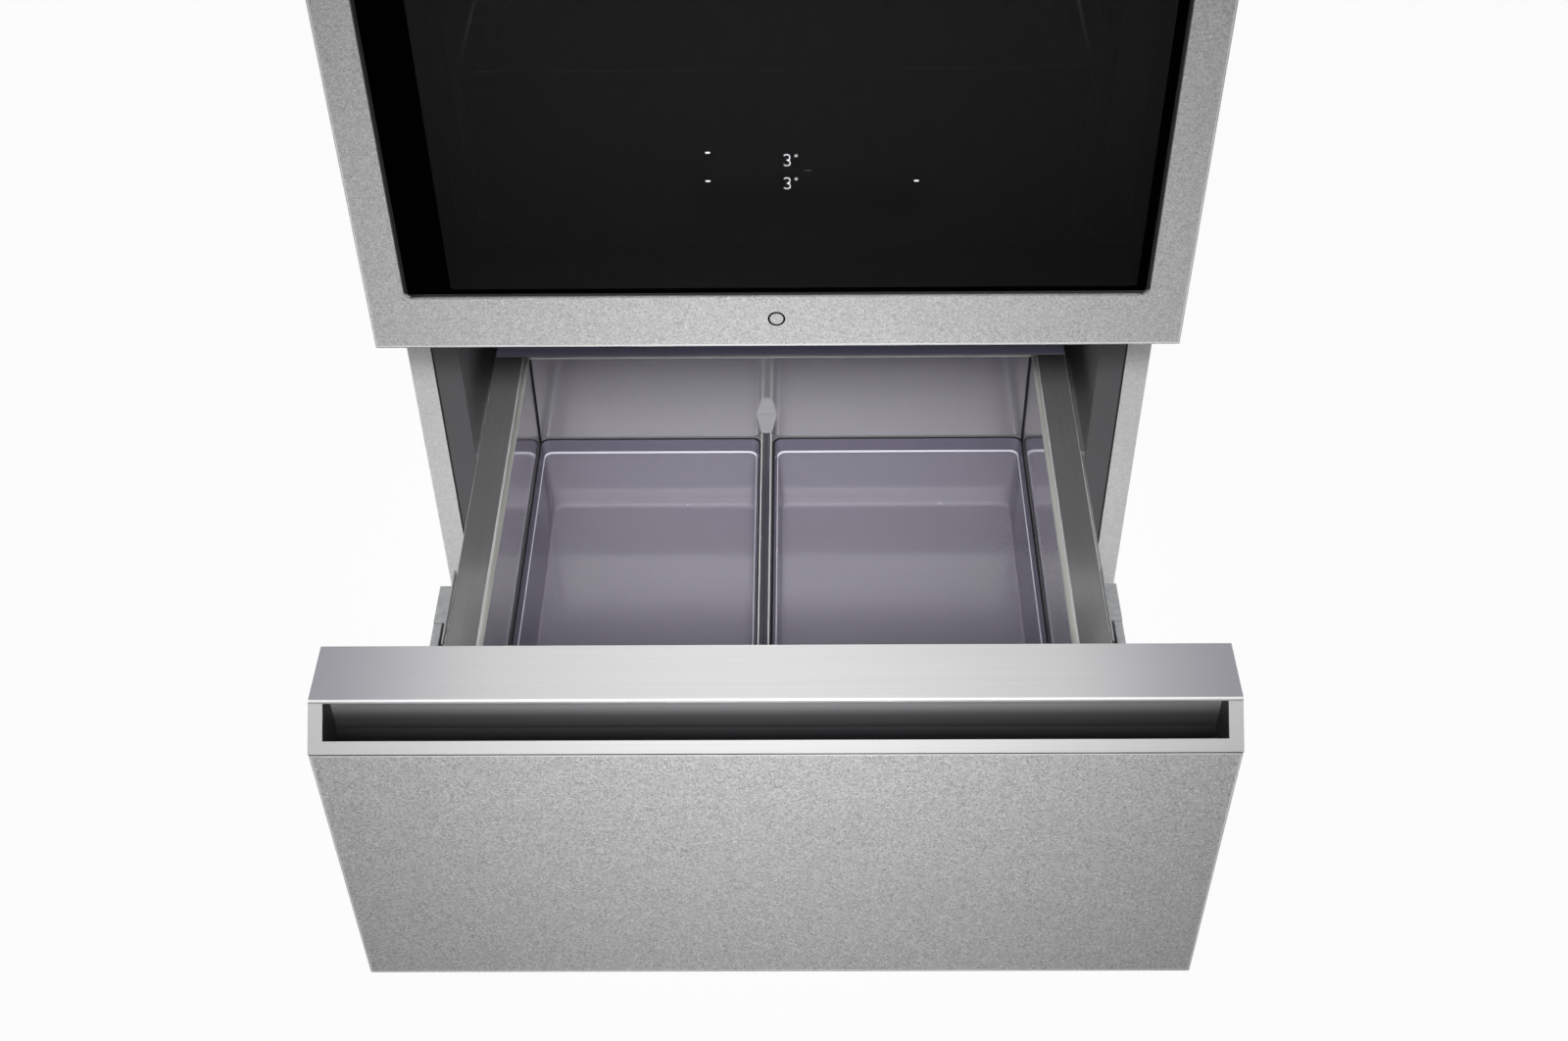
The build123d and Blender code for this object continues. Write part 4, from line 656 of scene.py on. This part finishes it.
def drawer_bins(label, spans):
    """Clear bins with a flared collar, one for each span across the box."""
    node = f"{label}_clear_bins"
    row_finish = {8: 1, 7: 2, 5: 3, 6: 3}  # painted highlight line, painted shade on the collar and painted shadow on the lip, as appended below
    low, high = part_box(node)
    shape = bmesh.new()
    for left, right in spans:
        middle = ((left + right) / 2, (low.y + high.y) / 2)
        half = ((right - left) / 2, (high.y - low.y) / 2)
        loft(shape, list(bin_rings(middle, half, low.z, high.z)), row_finish)
    thing = put(node + "_moulded", mesh_of(node, shape), f"{label}_drawer", "bin_plastic", [node])
    for name in ("clear_edge", "bin_collar", "seam_shadow"):
        thing.data.materials.append(finishes[name])


# Door glass, with the print, the film and the marks behind it

glass_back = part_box("door_glass")[1].y - 1.0 * MM


def door_pane():
    """Door glass with rounded edges, with room for the print behind it."""
    shape = cleaned("door_glass")
    for point in shape.verts:
        if point.co.y > glass_back:
            point.co.y = glass_back
    softened("door_glass", 0.6 * MM, shape=shape)


def glass_backing():
    """Black print round the window of the door glass, and inside it a painted veil for the dim inside seen through
    the glass.
    """
    low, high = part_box("door_glass")
    corner = 3 * MM
    gap = 0.1 * MM
    window = (-277 * MM, 306 * MM, low.z + 6.0 * MM, high.z - 12 * MM)
    outer = (low.x + 1 * MM, high.x - 1 * MM, low.z + 1 * MM, high.z - 1 * MM)
    before = glass_back + 0.1 * MM
    behind = before + 0.3 * MM
    order = ((outer, before), (outer, behind), (window, behind), (window, before))
    shape = bmesh.new()
    loft(shape, [upright_ring(sides, corner, y) for sides, y in order], closed=True)
    put("glass_print", mesh_of("glass_print", shape), "door", "glass_print", angle=None)
    left, right, foot, top = window
    inside = (left + gap, right - gap, foot + gap, top - gap)
    painted_veil = bmesh.new()
    loft(painted_veil, [upright_ring(inside, corner - gap, glass_back + depth * MM) for depth in (0.15, 0.35)])
    put("glass_film", mesh_of("glass_film", painted_veil), "door", "glass_film", angle=None)


def stroke(shape, points, width, y):
    """Flat line of one width along points (x, z), facing the front."""
    rows = []
    for index, point in enumerate(points):
        before = points[max(index - 1, 0)]
        after = points[min(index + 1, len(points) - 1)]
        ahead = Vector((after[0] - before[0], after[1] - before[1])).normalized() * width / 2
        sides = ((point[0] - ahead.y, point[1] + ahead.x), (point[0] + ahead.y, point[1] - ahead.x))
        rows.append([shape.verts.new((x, y, z)) for x, z in sides])
    for first, second in zip(rows, rows[1:]):
        shape.faces.new((first[0], first[1], second[1], second[0]))


def arc(center, radius, start, stop, steps=10):
    """Points (x, z) along an arc of an ellipse, in degrees."""
    turns = [math.radians(start + (stop - start) * step / steps) for step in range(steps + 1)]
    return [(center[0] + radius[0] * math.cos(turn), center[1] + radius[1] * math.sin(turn)) for turn in turns]


def figure_three(shape, left, foot, height, width, y):
    """Thin figure 3 from two arcs."""
    half = height / 4
    across = height * 0.24
    middle = left + across
    upper = arc((middle, foot + 3 * half), (across, half), 150, -90)
    lower = arc((middle, foot + half), (across * 1.08, half), 90, -150)
    stroke(shape, upper, width, y)
    stroke(shape, lower, width, y)


def bar(shape, x, y, z):
    """Rectangular bar between three (low, high) pairs, added to a shape."""
    corners = [shape.verts.new((a, b, c)) for c in z for b in y for a in x]
    for ring in ((0, 2, 3, 1), (4, 5, 7, 6), (0, 1, 5, 4), (2, 6, 7, 3), (0, 4, 6, 2), (1, 3, 7, 5)):
        shape.faces.new([corners[index] for index in ring])


def circle_band(shape, center, radius, width, y, steps=14):
    """Flat ring that faces the front."""
    rows = []
    for reach in (radius - width, radius):
        row = []
        for step in range(steps):
            turn = math.tau * step / steps
            row.append(shape.verts.new((center[0] + reach * math.cos(turn), y, center[1] + reach * math.sin(turn))))
        rows.append(row)
    for step in range(steps):
        after = (step + 1) % steps
        shape.faces.new((rows[0][step], rows[1][step], rows[1][after], rows[0][after]))


def display_marks():
    """Lit dashes, two figures with a small degree ring each, and one dim dash."""
    front = glass_back + 0.04 * MM
    back = glass_back + 0.12 * MM
    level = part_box("door_frame")[0].z
    lit = bmesh.new()
    half_x, half_z = 1.8 * MM, 0.5 * MM
    for across, height in ((-53.2, 194.1), (-54.0, 167.2), (115, 166.4)):
        x, z = across * MM, level + height * MM
        bar(lit, (x - half_x, x + half_x), (front, back), (z - half_z, z + half_z))
    for height in (181.4, 159.4):
        foot = level + height * MM
        figure_three(lit, 7.6 * MM, foot, 10.6 * MM, 0.46 * MM, front)
        circle_band(lit, (17.6 * MM, foot + 9.4 * MM), 1.1 * MM, 0.26 * MM, front)
    lit_mesh = mesh_of("display_marks", lit, turn_out=False)
    put("display_marks", lit_mesh, "door", "marks_light")
    dim = bmesh.new()
    dash = (24 * MM, 30 * MM, level + 176.2 * MM, level + 177.4 * MM)
    loft(dim, [upright_ring(dash, 0.55 * MM, y) for y in (front, back)])
    put("display_dim_mark", mesh_of("display_dim_mark", dim), "door", "marks_dim")


# Faces and seams with a finish of their own, mostly painted highlights and painted shade

def paint_faces(thing, finish_name, chosen):
    """Gives the faces that a test chooses by middle and normal another finish."""
    thing.data.materials.append(finishes[finish_name])
    index = len(thing.data.materials) - 1
    for face in thing.data.polygons:
        if chosen(face.center, face.normal):
            face.material_index = index


def box_seams(label):
    """Near-black strips of painted shade along the folds in the steel box's upright corners."""
    seam = 1.4 * MM
    sheet = 0.8 * MM
    hem = 4.5 * MM
    low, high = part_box(f"{label}_steel_box")
    shape = bmesh.new()
    for side in (-1, 1):
        x = side * (high.x - hem - sheet)
        for y, inwards in ((low.y + sheet, seam), (high.y - sheet, -seam)):
            spans = (sorted((x, x - side * seam)), sorted((y, y + inwards)), (low.z + 1 * MM, high.z - 2 * MM))
            bar(shape, *spans)
    put(f"{label}_box_seams", mesh_of("box_seams", shape), f"{label}_drawer", "seam_shadow")


def drawer_steel(label):
    """Folded box and side frames, with painted highlights along the rims, a paler painted tone on the box's hem and
    a painted sheen on the rear bar.
    """
    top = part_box(f"{label}_steel_box")[1]
    line = top.z - 2.2 * MM
    shape = cleaned(f"{label}_steel_box")
    cut_level(shape, (0, 0, line), (0, 0, 1))
    box = softened(f"{label}_steel_box", 0.45 * MM, shape=shape)
    # painted light on the box's hem
    paint_faces(box, "hem_steel", lambda middle, facing: middle.z > line and facing.z > 0.5)

    def on_rim(middle, facing):
        return middle.z > top.z - 1.0 * MM and abs(facing.x) > 0.2 and facing.z > 0.2

    def on_rear_rim(middle, facing):
        return middle.z > line and middle.y > top.y - 3 * MM and facing.y < -0.2

    # painted highlight on the box rims and its rear edge
    paint_faces(box, "rim_steel", on_rim)
    paint_faces(box, "polished_edge", on_rear_rim)
    # painted highlight on the frame's rounded edges
    sides = softened(f"{label}_drawer_frame", 0.6 * MM, edge_finish="rim_steel")
    # painted sheen on the rear bar
    paint_faces(sides, "rear_bar", lambda middle, facing: middle.y > top.y + 1 * MM and facing.z > 0.5)
    box_seams(label)


def handle(label):
    """Handle rail with painted highlights on its edges, and a recess with painted shade that darkens it towards its
    floor.
    """
    node = f"{label}_handle_rail"
    low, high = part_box(node)
    shape = cleaned(node)
    cut_level(shape, (0, 0, high.z - 2.1 * MM), (0, 0, 1))
    rail = softened(node, 0.9 * MM, edge_finish="polished_edge", shape=shape)
    recess = finish(f"{label}_recess", (0.46, 0.46, 0.47), 0.42, 0.05, crosswise, 0.04, 0.06)
    finishes[f"{label}_recess"] = recess
    # painted shade deep in the recess: drops below the rail's top, and the shares of painted dark at the lower and
    # the upper one
    for low_drop, high_drop, low_share, high_share in ((38, 14, 0.86, 0.05), (56, 37, 0.97, 0.0)):
        levels = {"Low": high.z - low_drop * MM, "High": high.z - high_drop * MM}
        blend_into(recess, depth_effect, levels, (0.004, 0.004, 0.005), low_share, high_share)
    slope_y, slope_z = -0.683, 0.731

    def on_slope(facing):
        return abs(facing.y - slope_y) < 0.02 and abs(facing.z - slope_z) < 0.02

    def in_recess(middle, facing):
        deep = middle.y > low.y + 3 * MM
        below_top = middle.z < high.z - 2.2 * MM
        return deep and below_top and abs(middle.x) < high.x - 9 * MM and not on_slope(facing)

    paint_faces(rail, f"{label}_recess", in_recess)
    # painted shade: near-black ends of the recess
    paint_faces(rail, "recess_end", lambda middle, facing: in_recess(middle, facing) and abs(facing.x) > 0.5)
    # painted light: the sloping band in its own tone of the rail steel
    paint_faces(rail, "bevel_steel", lambda middle, facing: on_slope(facing))
    # painted highlight along the lip's top edge, over painted shade on its lower part
    lip = finish(f"{label}_lip", *metal_finishes["polished_edge"])
    finishes[f"{label}_lip"] = lip
    lip_painted_shade_levels = {"Low": high.z - 1.5 * MM, "High": high.z - 0.9 * MM}
    blend_into(lip, depth_effect, lip_painted_shade_levels, (0.30, 0.30, 0.305), 1.0, 0.0)

    def on_lip(middle, facing):
        near_top = high.z - 4 * MM < middle.z < high.z - 0.8 * MM
        return near_top and middle.y < low.y + 32 * MM and facing.y < -0.5 and facing.z > -0.6

    paint_faces(rail, f"{label}_lip", on_lip)


def edge_strip(shape, half, foot):
    """Cuts a narrow strip along the sides and foot of a front, and says which faces lie in it."""
    shade, light = 0.9 * MM, 1.3 * MM
    for side in (-1, 1):
        for reach in (shade, shade + light):
            cut_level(shape, (side * (half - reach), 0, 0), (1, 0, 0))
    for reach in (shade, shade + light):
        cut_level(shape, (0, 0, foot + reach), (0, 0, 1))

    def in_strip(middle, facing):
        reach = min(half - abs(middle.x), middle.z - foot)
        return facing.y < -0.9 and shade < reach < shade + light

    return in_strip


def door_front():
    """Door frame with a painted highlight line along its outer edges and painted shade on their rounding."""
    low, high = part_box("door_frame")
    shape = cleaned("door_frame")
    in_strip = edge_strip(shape, high.x, low.z)
    piece = softened("door_frame", 0.7 * MM, edge_finish="edge_shadow", shape=shape)
    paint_faces(piece, "polished_edge", in_strip)


def drawer_front(label):
    """Front panel with painted highlight lines along its edges and painted shade on their rounding, and a painted
    shadow over a painted highlight line at the joint below the handle rail.
    """
    node = f"{label}_front_panel"
    low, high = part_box(node)
    seam_foot = high.z - 1.4 * MM
    line_foot = high.z - 2.7 * MM
    shape = cleaned(node)
    for level in (seam_foot, line_foot):
        cut_level(shape, (0, 0, level), (0, 0, 1))
    in_strip = edge_strip(shape, high.x, low.z)
    panel = softened(node, 0.7 * MM, edge_finish="edge_shadow", shape=shape)
    paint_faces(panel, "polished_edge", in_strip)

    def between(foot, top):
        return lambda middle, facing: foot < middle.z < top and middle.y < low.y + 1.5 * MM

    # painted shadow in the joint under the rail, with a painted highlight line below it
    paint_faces(panel, "seam_shadow", between(seam_foot, high.z + 1 * MM))
    paint_faces(panel, "polished_edge", between(line_foot, seam_foot))


def room_liner(label):
    """Liner of a drawer room, with painted light that makes its shaded walls inside the front flange paler."""
    node = f"{label}_drawer_liner"
    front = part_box(node)[0].y
    piece = softened(node, 2.5 * MM, 3)
    paint_faces(piece, "liner_wall", lambda middle, facing: middle.y > front + 3 * MM)


def divider():
    """Glossy bar with painted highlights along its edges and a light clip at each end."""
    node = "upper_box_divider"
    low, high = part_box(node)
    piece = softened(node, 0.5 * MM)
    clip = 26 * MM
    half = 5.6 * MM
    center = (low.x + high.x) / 2

    def on_clip(middle, facing):
        at_end = middle.y < low.y + clip or middle.y > high.y - clip
        return at_end and (middle.z > high.z - 1.9 * MM or abs(middle.x - center) > half)

    def on_edge(middle, facing):
        return abs(middle.x - center) > 4.0 * MM and middle.z > high.z - 4.2 * MM and facing.z > 0.2

    paint_faces(piece, "divider_clip", on_clip)
    paint_faces(piece, "rim_steel", lambda middle, facing: on_edge(middle, facing) and not on_clip(middle, facing))


# Gaskets

def gasket(name, node, width, body):
    """Bellows gasket along the back of a front, with its folds."""
    low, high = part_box(node)
    depth = high.y - low.y
    profile = [
        (0.8 * MM, 0.0),
        (0.3 * MM, 0.22),
        (2.4 * MM, 0.34),
        (2.6 * MM, 0.42),
        (0.4 * MM, 0.56),
        (0.0, 0.78),
        (0.9 * MM, 0.97),
        (width - 2.8 * MM, 0.97),
        (width - 2.0 * MM, 0.76),
        (width - 4.4 * MM, 0.60),
        (width - 4.2 * MM, 0.50),
        (width - 1.6 * MM, 0.36),
        (width - 0.6 * MM, 0.20),
        (width - 1.2 * MM, 0.0),
    ]
    center = (low + high) / 2
    rings = []
    for inset, share in profile:
        flat = round_ring(high.x - inset, (high.z - low.z) / 2 - inset, max(9 * MM - inset * 0.5, 2 * MM), 0, 3)
        rings.append([Vector((point.x, low.y + share * depth, center.z + point.y)) for point in flat])
    shape = bmesh.new()
    loft(shape, rings, closed=True)
    put(name, mesh_of(name, shape), body, "gasket_rubber", [node], angle=50)


# Repeated small pieces

def repeater():
    """Node group that sets copies of one piece along two parallel rows."""
    group = bpy.data.node_groups.new("piece_rows", "GeometryNodeTree")
    for label, kind in (
        ("Piece", "Object"),
        ("Start", "Vector"),
        ("Step", "Vector"),
        ("Count", "Int"),
        ("Second Row", "Vector"),
        ("Turn Axis", "Vector"),
        ("Seed", "Int"),
        ("Finish", "Material"),
    ):
        group.interface.new_socket(label, in_out="INPUT", socket_type="NodeSocket" + kind)
    group.interface.new_socket("Geometry", in_out="OUTPUT", socket_type="NodeSocketGeometry")
    given = group.nodes.new("NodeGroupInput").outputs
    shifts = {0: given["Start"], 1: given["Second Row"]}
    shift = node_in(group, "ShaderNodeVectorMath", shifts, operation="ADD")
    rows = node_in(group, "GeometryNodeJoinGeometry")
    for start in (given["Start"], shift.outputs["Vector"]):
        sizes = {"Count": given["Count"], "Start Location": start, "Offset": given["Step"]}
        line = node_in(group, "GeometryNodeMeshLine", sizes, mode="OFFSET")
        group.links.new(line.outputs["Mesh"], rows.inputs["Geometry"])
    inputs = {"Max": math.tau, "Seed": given["Seed"]}
    chance = node_in(group, "FunctionNodeRandomValue", inputs, data_type="FLOAT")
    angle = next(socket for socket in chance.outputs if socket.enabled)
    turn = node_in(group, "ShaderNodeVectorMath", {0: given["Turn Axis"], "Scale": angle}, operation="SCALE")
    piece = node_in(group, "GeometryNodeObjectInfo", {"Object": given["Piece"]})
    inputs = {"Points": rows.outputs["Geometry"], "Instance": piece.outputs["Geometry"]}
    inputs["Rotation"] = turn.outputs["Vector"]
    copies = node_in(group, "GeometryNodeInstanceOnPoints", inputs)
    real = node_in(group, "GeometryNodeRealizeInstances", {"Geometry": copies.outputs["Instances"]})
    worn = {"Geometry": real.outputs["Geometry"], "Material": given["Finish"]}
    finished = node_in(group, "GeometryNodeSetMaterial", worn)
    node_in(group, "NodeGroupOutput", {"Geometry": finished.outputs["Geometry"]})
    return group


piece_rows = repeater()


def row_mesh(piece, start, step, count, second_row, axis, seed, finish_name="screw_steel"):
    """Mesh of two rows of a piece, worked out by the node group from places in millimetres."""
    thing = bpy.data.objects.new("rows", bpy.data.meshes.new("rows"))
    scene.collection.objects.link(thing)
    rows = thing.modifiers.new("rows", "NODES")
    rows.node_group = piece_rows
    values = {
        "Piece": piece,
        "Start": [size * MM for size in start],
        "Step": [size * MM for size in step],
        "Count": count,
        "Second Row": [size * MM for size in second_row],
        "Turn Axis": axis,
        "Seed": seed,
        "Finish": finishes[finish_name],
    }
    for socket in piece_rows.interface.items_tree:
        if socket.in_out == "INPUT":
            rows[socket.identifier] = values[socket.name]
    thing.update_tag()
    return worked_out(thing)


def template(shape, turn):
    """Piece for the rows to copy, turned to face its way."""
    mesh = mesh_of("template", shape)
    mesh.transform(turn)
    thing = bpy.data.objects.new("template", mesh)
    scene.collection.objects.link(thing)
    return thing


def screw_head(radius, turn):
    """Round screw head with a cross recess."""
    shape = bmesh.new()
    sides = 16
    turns = [math.tau * step / sides for step in range(sides)]
    rings = []
    for reach, z in ((1.0, 0.0), (1.0, 0.22), (0.86, 0.42), (0.60, 0.52)):
        spots = [(radius * reach * math.cos(spot), radius * reach * math.sin(spot), radius * z) for spot in turns]
        rings.append([shape.verts.new(spot) for spot in spots])
    for low, high in zip(rings, rings[1:]):
        for index in range(sides):
            after = (index + 1) % sides
            shape.faces.new((low[index], low[after], high[after], high[index]))
    shape.faces.new(list(reversed(rings[0])))
    arm, half = 0.42 * radius, 0.10 * radius
    cross = [(half, half), (half, arm), (-half, arm), (-half, half), (-arm, half), (-arm, -half)]
    cross += [(-half, -half), (-half, -arm), (half, -arm), (half, -half), (arm, -half), (arm, half)]
    brim = [shape.verts.new((x, y, radius * 0.52)) for x, y in cross]
    floor = [shape.verts.new((x * 0.7, y * 0.7, radius * 0.16)) for x, y in cross]
    for index in range(len(cross)):
        after = (index + 1) % len(cross)
        shape.faces.new((brim[index], brim[after], floor[after], floor[index]))
    shape.faces.new(floor)
    edges = []
    for ring in (brim, rings[-1]):
        edges += [shape.edges.get(pair) for pair in zip(ring, ring[1:] + ring[:1])]
    bmesh.ops.triangle_fill(shape, use_beauty=True, edges=edges)
    return template(shape, turn)


def louvre_hood():
    """Shallow scoop over an air slot, open below."""
    outside = [(4.6, 0.05), (4.4, 0.8), (3.6, 1.3), (2.2, 1.65), (0.2, 1.8), (-1.2, 1.8)]
    inside = [(-1.2, 1.35), (0.2, 1.35), (2.0, 1.2), (3.0, 0.9), (3.7, 0.5), (3.9, 0.05)]
    half_length = [(46, 1), (50, 0.9), (52.5, 0.5), (53.5, 0.06)]
    length = [(-x, share) for x, share in reversed(half_length)] + half_length
    shape = bmesh.new()
    rows = []
    for x, share in length:
        rows.append([Vector((x * MM, y * share * MM, z * MM)) for z, y in outside + inside])
    loft(shape, rows)
    return template(shape, Matrix.Identity(4))


def merged(name, meshes):
    """One piece of the cabinet from several meshes."""
    shape = bmesh.new()
    for mesh in meshes:
        shape.from_mesh(mesh)
    used = meshes[0].materials[0]
    for mesh in meshes:
        bpy.data.meshes.remove(mesh)
    whole = bpy.data.meshes.new(name)
    shape.to_mesh(whole)
    shape.free()
    whole.materials.append(used)
    put(name, whole, "cabinet", None, angle=38)


def repeated_pieces():
    """Screws on the back, plinth and hinge, and the hoods over the air slots."""
    back = Matrix.Rotation(math.radians(-90), 4, "X")
    front = Matrix.Rotation(math.radians(90), 4, "X")
    behind = screw_head(3.6 * MM, back)
    before = screw_head(2.6 * MM, front)
    above = screw_head(3.4 * MM, Matrix.Identity(4))
    hood = louvre_hood()
    turn_y, turn_z, unturned = (0, 1, 0), (0, 0, 1), (0, 0, 0)
    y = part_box("machine_cover")[1].y / MM
    side_x = 339
    screws = [
        row_mesh(behind, (-side_x, y, 300), (0, 0, 120), 13, (2 * side_x, 0, 0), turn_y, 3),
        row_mesh(behind, (-276, y, 1768), (138, 0, 0), 5, (0, 0, -1491), turn_y, 5),
        row_mesh(behind, (-side_x, y, 42), (0, 0, 71), 4, (2 * side_x, 0, 0), turn_y, 7),
        row_mesh(behind, (-200, y, 36), (100, 0, 0), 5, (0, 0, 226), turn_y, 9),
    ]
    merged("back_screws", screws)
    hoods = row_mesh(hood, (-210, y, 80.4), (0, 0, 14), 8, (210, 0, 0), unturned, 1, "zinc_steel")
    merged("louvre_hoods", [hoods])
    low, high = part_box("duct_cover")
    step = (high.z - low.z) / MM / 4 - 8
    duct = row_mesh(before, (-136, low.y / MM, low.z / MM + 16), (0, 0, step), 5, (272, 0, 0), turn_y, 11)
    plinth_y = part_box("kick_plate")[0].y / MM
    plinth = row_mesh(before, (-325, plinth_y, 50), (650, 0, 0), 2, (0, 0, -34), turn_y, 13)
    merged("inner_screws", [duct, plinth])
    hinge_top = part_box("hinge_brackets")[1].z / MM
    hinge = row_mesh(above, (316, -72, hinge_top), (18, 0, 0), 2, (0, 22, 0), turn_z, 17)
    merged("hinge_screws", [hinge])
    for thing in (behind, before, above, hood):
        bpy.data.objects.remove(thing)


# Studio

def seen_as_white(tree, own, white, camera_share, glossy_share, surface):
    """Mixes a shader into white by the share of white for the camera and glass, and for mirrors."""
    path = node_in(tree, "ShaderNodeLightPath").outputs
    total = 0.0
    for label, share in (
        ("Is Camera Ray", camera_share),
        ("Is Glossy Ray", glossy_share),
        ("Is Transmission Ray", camera_share),
    ):
        sums = {0: path[label], 1: share, 2: total}
        total = node_in(tree, "ShaderNodeMath", sums, operation="MULTIPLY_ADD", use_clamp=True).outputs[0]
    mix = node_in(tree, "ShaderNodeMixShader", {"Fac": total, 1: own.outputs[0], 2: white.outputs[0]})
    tree.links.new(mix.outputs[0], surface)


def surround():
    """World that is white to the eye and gives soft light."""
    world = bpy.data.worlds.new("studio")
    world.use_nodes = True
    scene.world = world
    tree = world.node_tree
    soft = tree.nodes["Background"]
    fill(tree, soft, {"Color": (1, 1, 1, 1), "Strength": 0.18})
    white = node_in(tree, "ShaderNodeBackground", {"Color": (1, 1, 1, 1), "Strength": 1.0})
    seen_as_white(tree, soft, white, 1.0, 1.0, tree.nodes["World Output"].inputs["Surface"])


def studio_floor():
    """Pale floor that keeps a faint shadow."""
    reach = 14
    shape = bmesh.new()
    corners = ((-reach, -reach), (reach, -reach), (reach, reach), (-reach, reach))
    shape.faces.new([shape.verts.new((x, y, 0)) for x, y in corners])
    floor = bpy.data.objects.new("floor", mesh_of("floor", shape, turn_out=False))
    scene.collection.objects.link(floor)
    paint = bpy.data.materials.new("floor_paint")
    paint.use_nodes = True
    tree = paint.node_tree
    own = shader_of(paint)
    fill(tree, own, {"Base Color": (0.86, 0.86, 0.86, 1), "Roughness": 0.9, "Specular IOR Level": 0.0})
    glow = node_in(tree, "ShaderNodeEmission", {"Strength": 1.0})
    seen_as_white(tree, own, glow, 0.96, 0.40, tree.nodes["Material Output"].inputs["Surface"])
    floor.data.materials.append(paint)


def aimed(lamp, place, target):
    """Puts a lamp in its place, looking at a point, and keeps it out of mirrors."""
    thing = bpy.data.objects.new(lamp.name, lamp)
    thing.location = place
    thing.rotation_euler = (Vector(target) - Vector(place)).to_track_quat("-Z", "Y").to_euler()
    thing.visible_glossy = False
    scene.collection.objects.link(thing)


def softbox(name, place, target, size, power):
    """Large area lamp that looks at a point."""
    lamp = bpy.data.lights.new(name, "AREA")
    lamp.shape = "RECTANGLE"
    lamp.size, lamp.size_y = size
    lamp.energy = power
    aimed(lamp, place, target)


def pool_lamp(name, place, target, angle, power):
    """Soft round lamp whose light fades away from the middle."""
    lamp = bpy.data.lights.new(name, "SPOT")
    lamp.spot_size = math.radians(angle)
    lamp.spot_blend = 1.0
    lamp.shadow_soft_size = 0.35
    lamp.energy = power
    aimed(lamp, place, target)


# Building it

aim_camera()
door_front()
# painted highlight along the cabinet's rounded edges
softened("cabinet_shell", 0.8 * MM, edge_finish="polished_edge")
for label in ("lower", "upper"):
    drawer_front(label)
    handle(label)
    drawer_steel(label)
    softened(f"{label}_moving_rails", 0.3 * MM)
    room_liner(label)
divider()
door_pane()
glass_backing()
softened("fridge_liner", 3.0 * MM, 3)
softened("hinge_cover", 1.2 * MM, 3)
for node, width in (
    ("back_panel", 0.3),
    ("machine_cover", 0.3),
    ("kick_plate", 0.8),
    ("hinge_brackets", 0.5),
    ("base_frame", 0.5),
    ("duct_cover", 0.8),
    ("evaporator_cover", 0.8),
    ("control_box", 1.0),
    ("drain_pan", 0.8),
    ("condenser_fan_shroud", 0.6),
    ("power_inlet", 0.5),
    ("light_strips", 0.6),
    ("shelf_trims", 0.8),
    ("door_inner_frame", 1.5),
    ("left_levelling_foot", 0.8),
    ("right_levelling_foot", 0.8),
    ("rear_rollers", 0.8),
    ("upper_front_core", 1.0),
    ("lower_front_core", 1.0),
    ("display_panel", 0.4),
):
    softened(node, width * MM)
gasket("door_bellows", "door_gasket", 14 * MM, "door")
for label in ("lower", "upper"):
    gasket(f"{label}_drawer_bellows", f"{label}_drawer_gasket", 12 * MM, f"{label}_drawer")
repeated_pieces()
door_baskets()
left, right = (corner.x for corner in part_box("upper_clear_bins"))
divider_x = sum(corner.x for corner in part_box("upper_box_divider")) / 2
divider_half = 5.8 * MM
drawer_bins("upper", [(left, divider_x - divider_half), (divider_x + divider_half, right)])
drawer_bins("lower", [tuple(corner.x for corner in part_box("lower_clear_bins"))])
display_marks()
surround()
studio_floor()
object_middle = (0, -0.1, 0.9)
softbox("front_softbox", (0.3, -3.2, 3.2), object_middle, (3.4, 2.4), 9)
softbox("top_softbox", (0, -0.3, 4.2), (0, -0.2, 0.8), (4.0, 3.0), 14)
softbox("left_softbox", (-3.4, -0.8, 2.2), object_middle, (2.4, 2.4), 14)
softbox("right_softbox", (3.4, -0.8, 2.2), object_middle, (2.4, 2.4), 2.5)
pool_lamp("middle_lamp", (0, -1.9, 2.5), (-0.01, -0.45, 0.875), 21.5, 485)
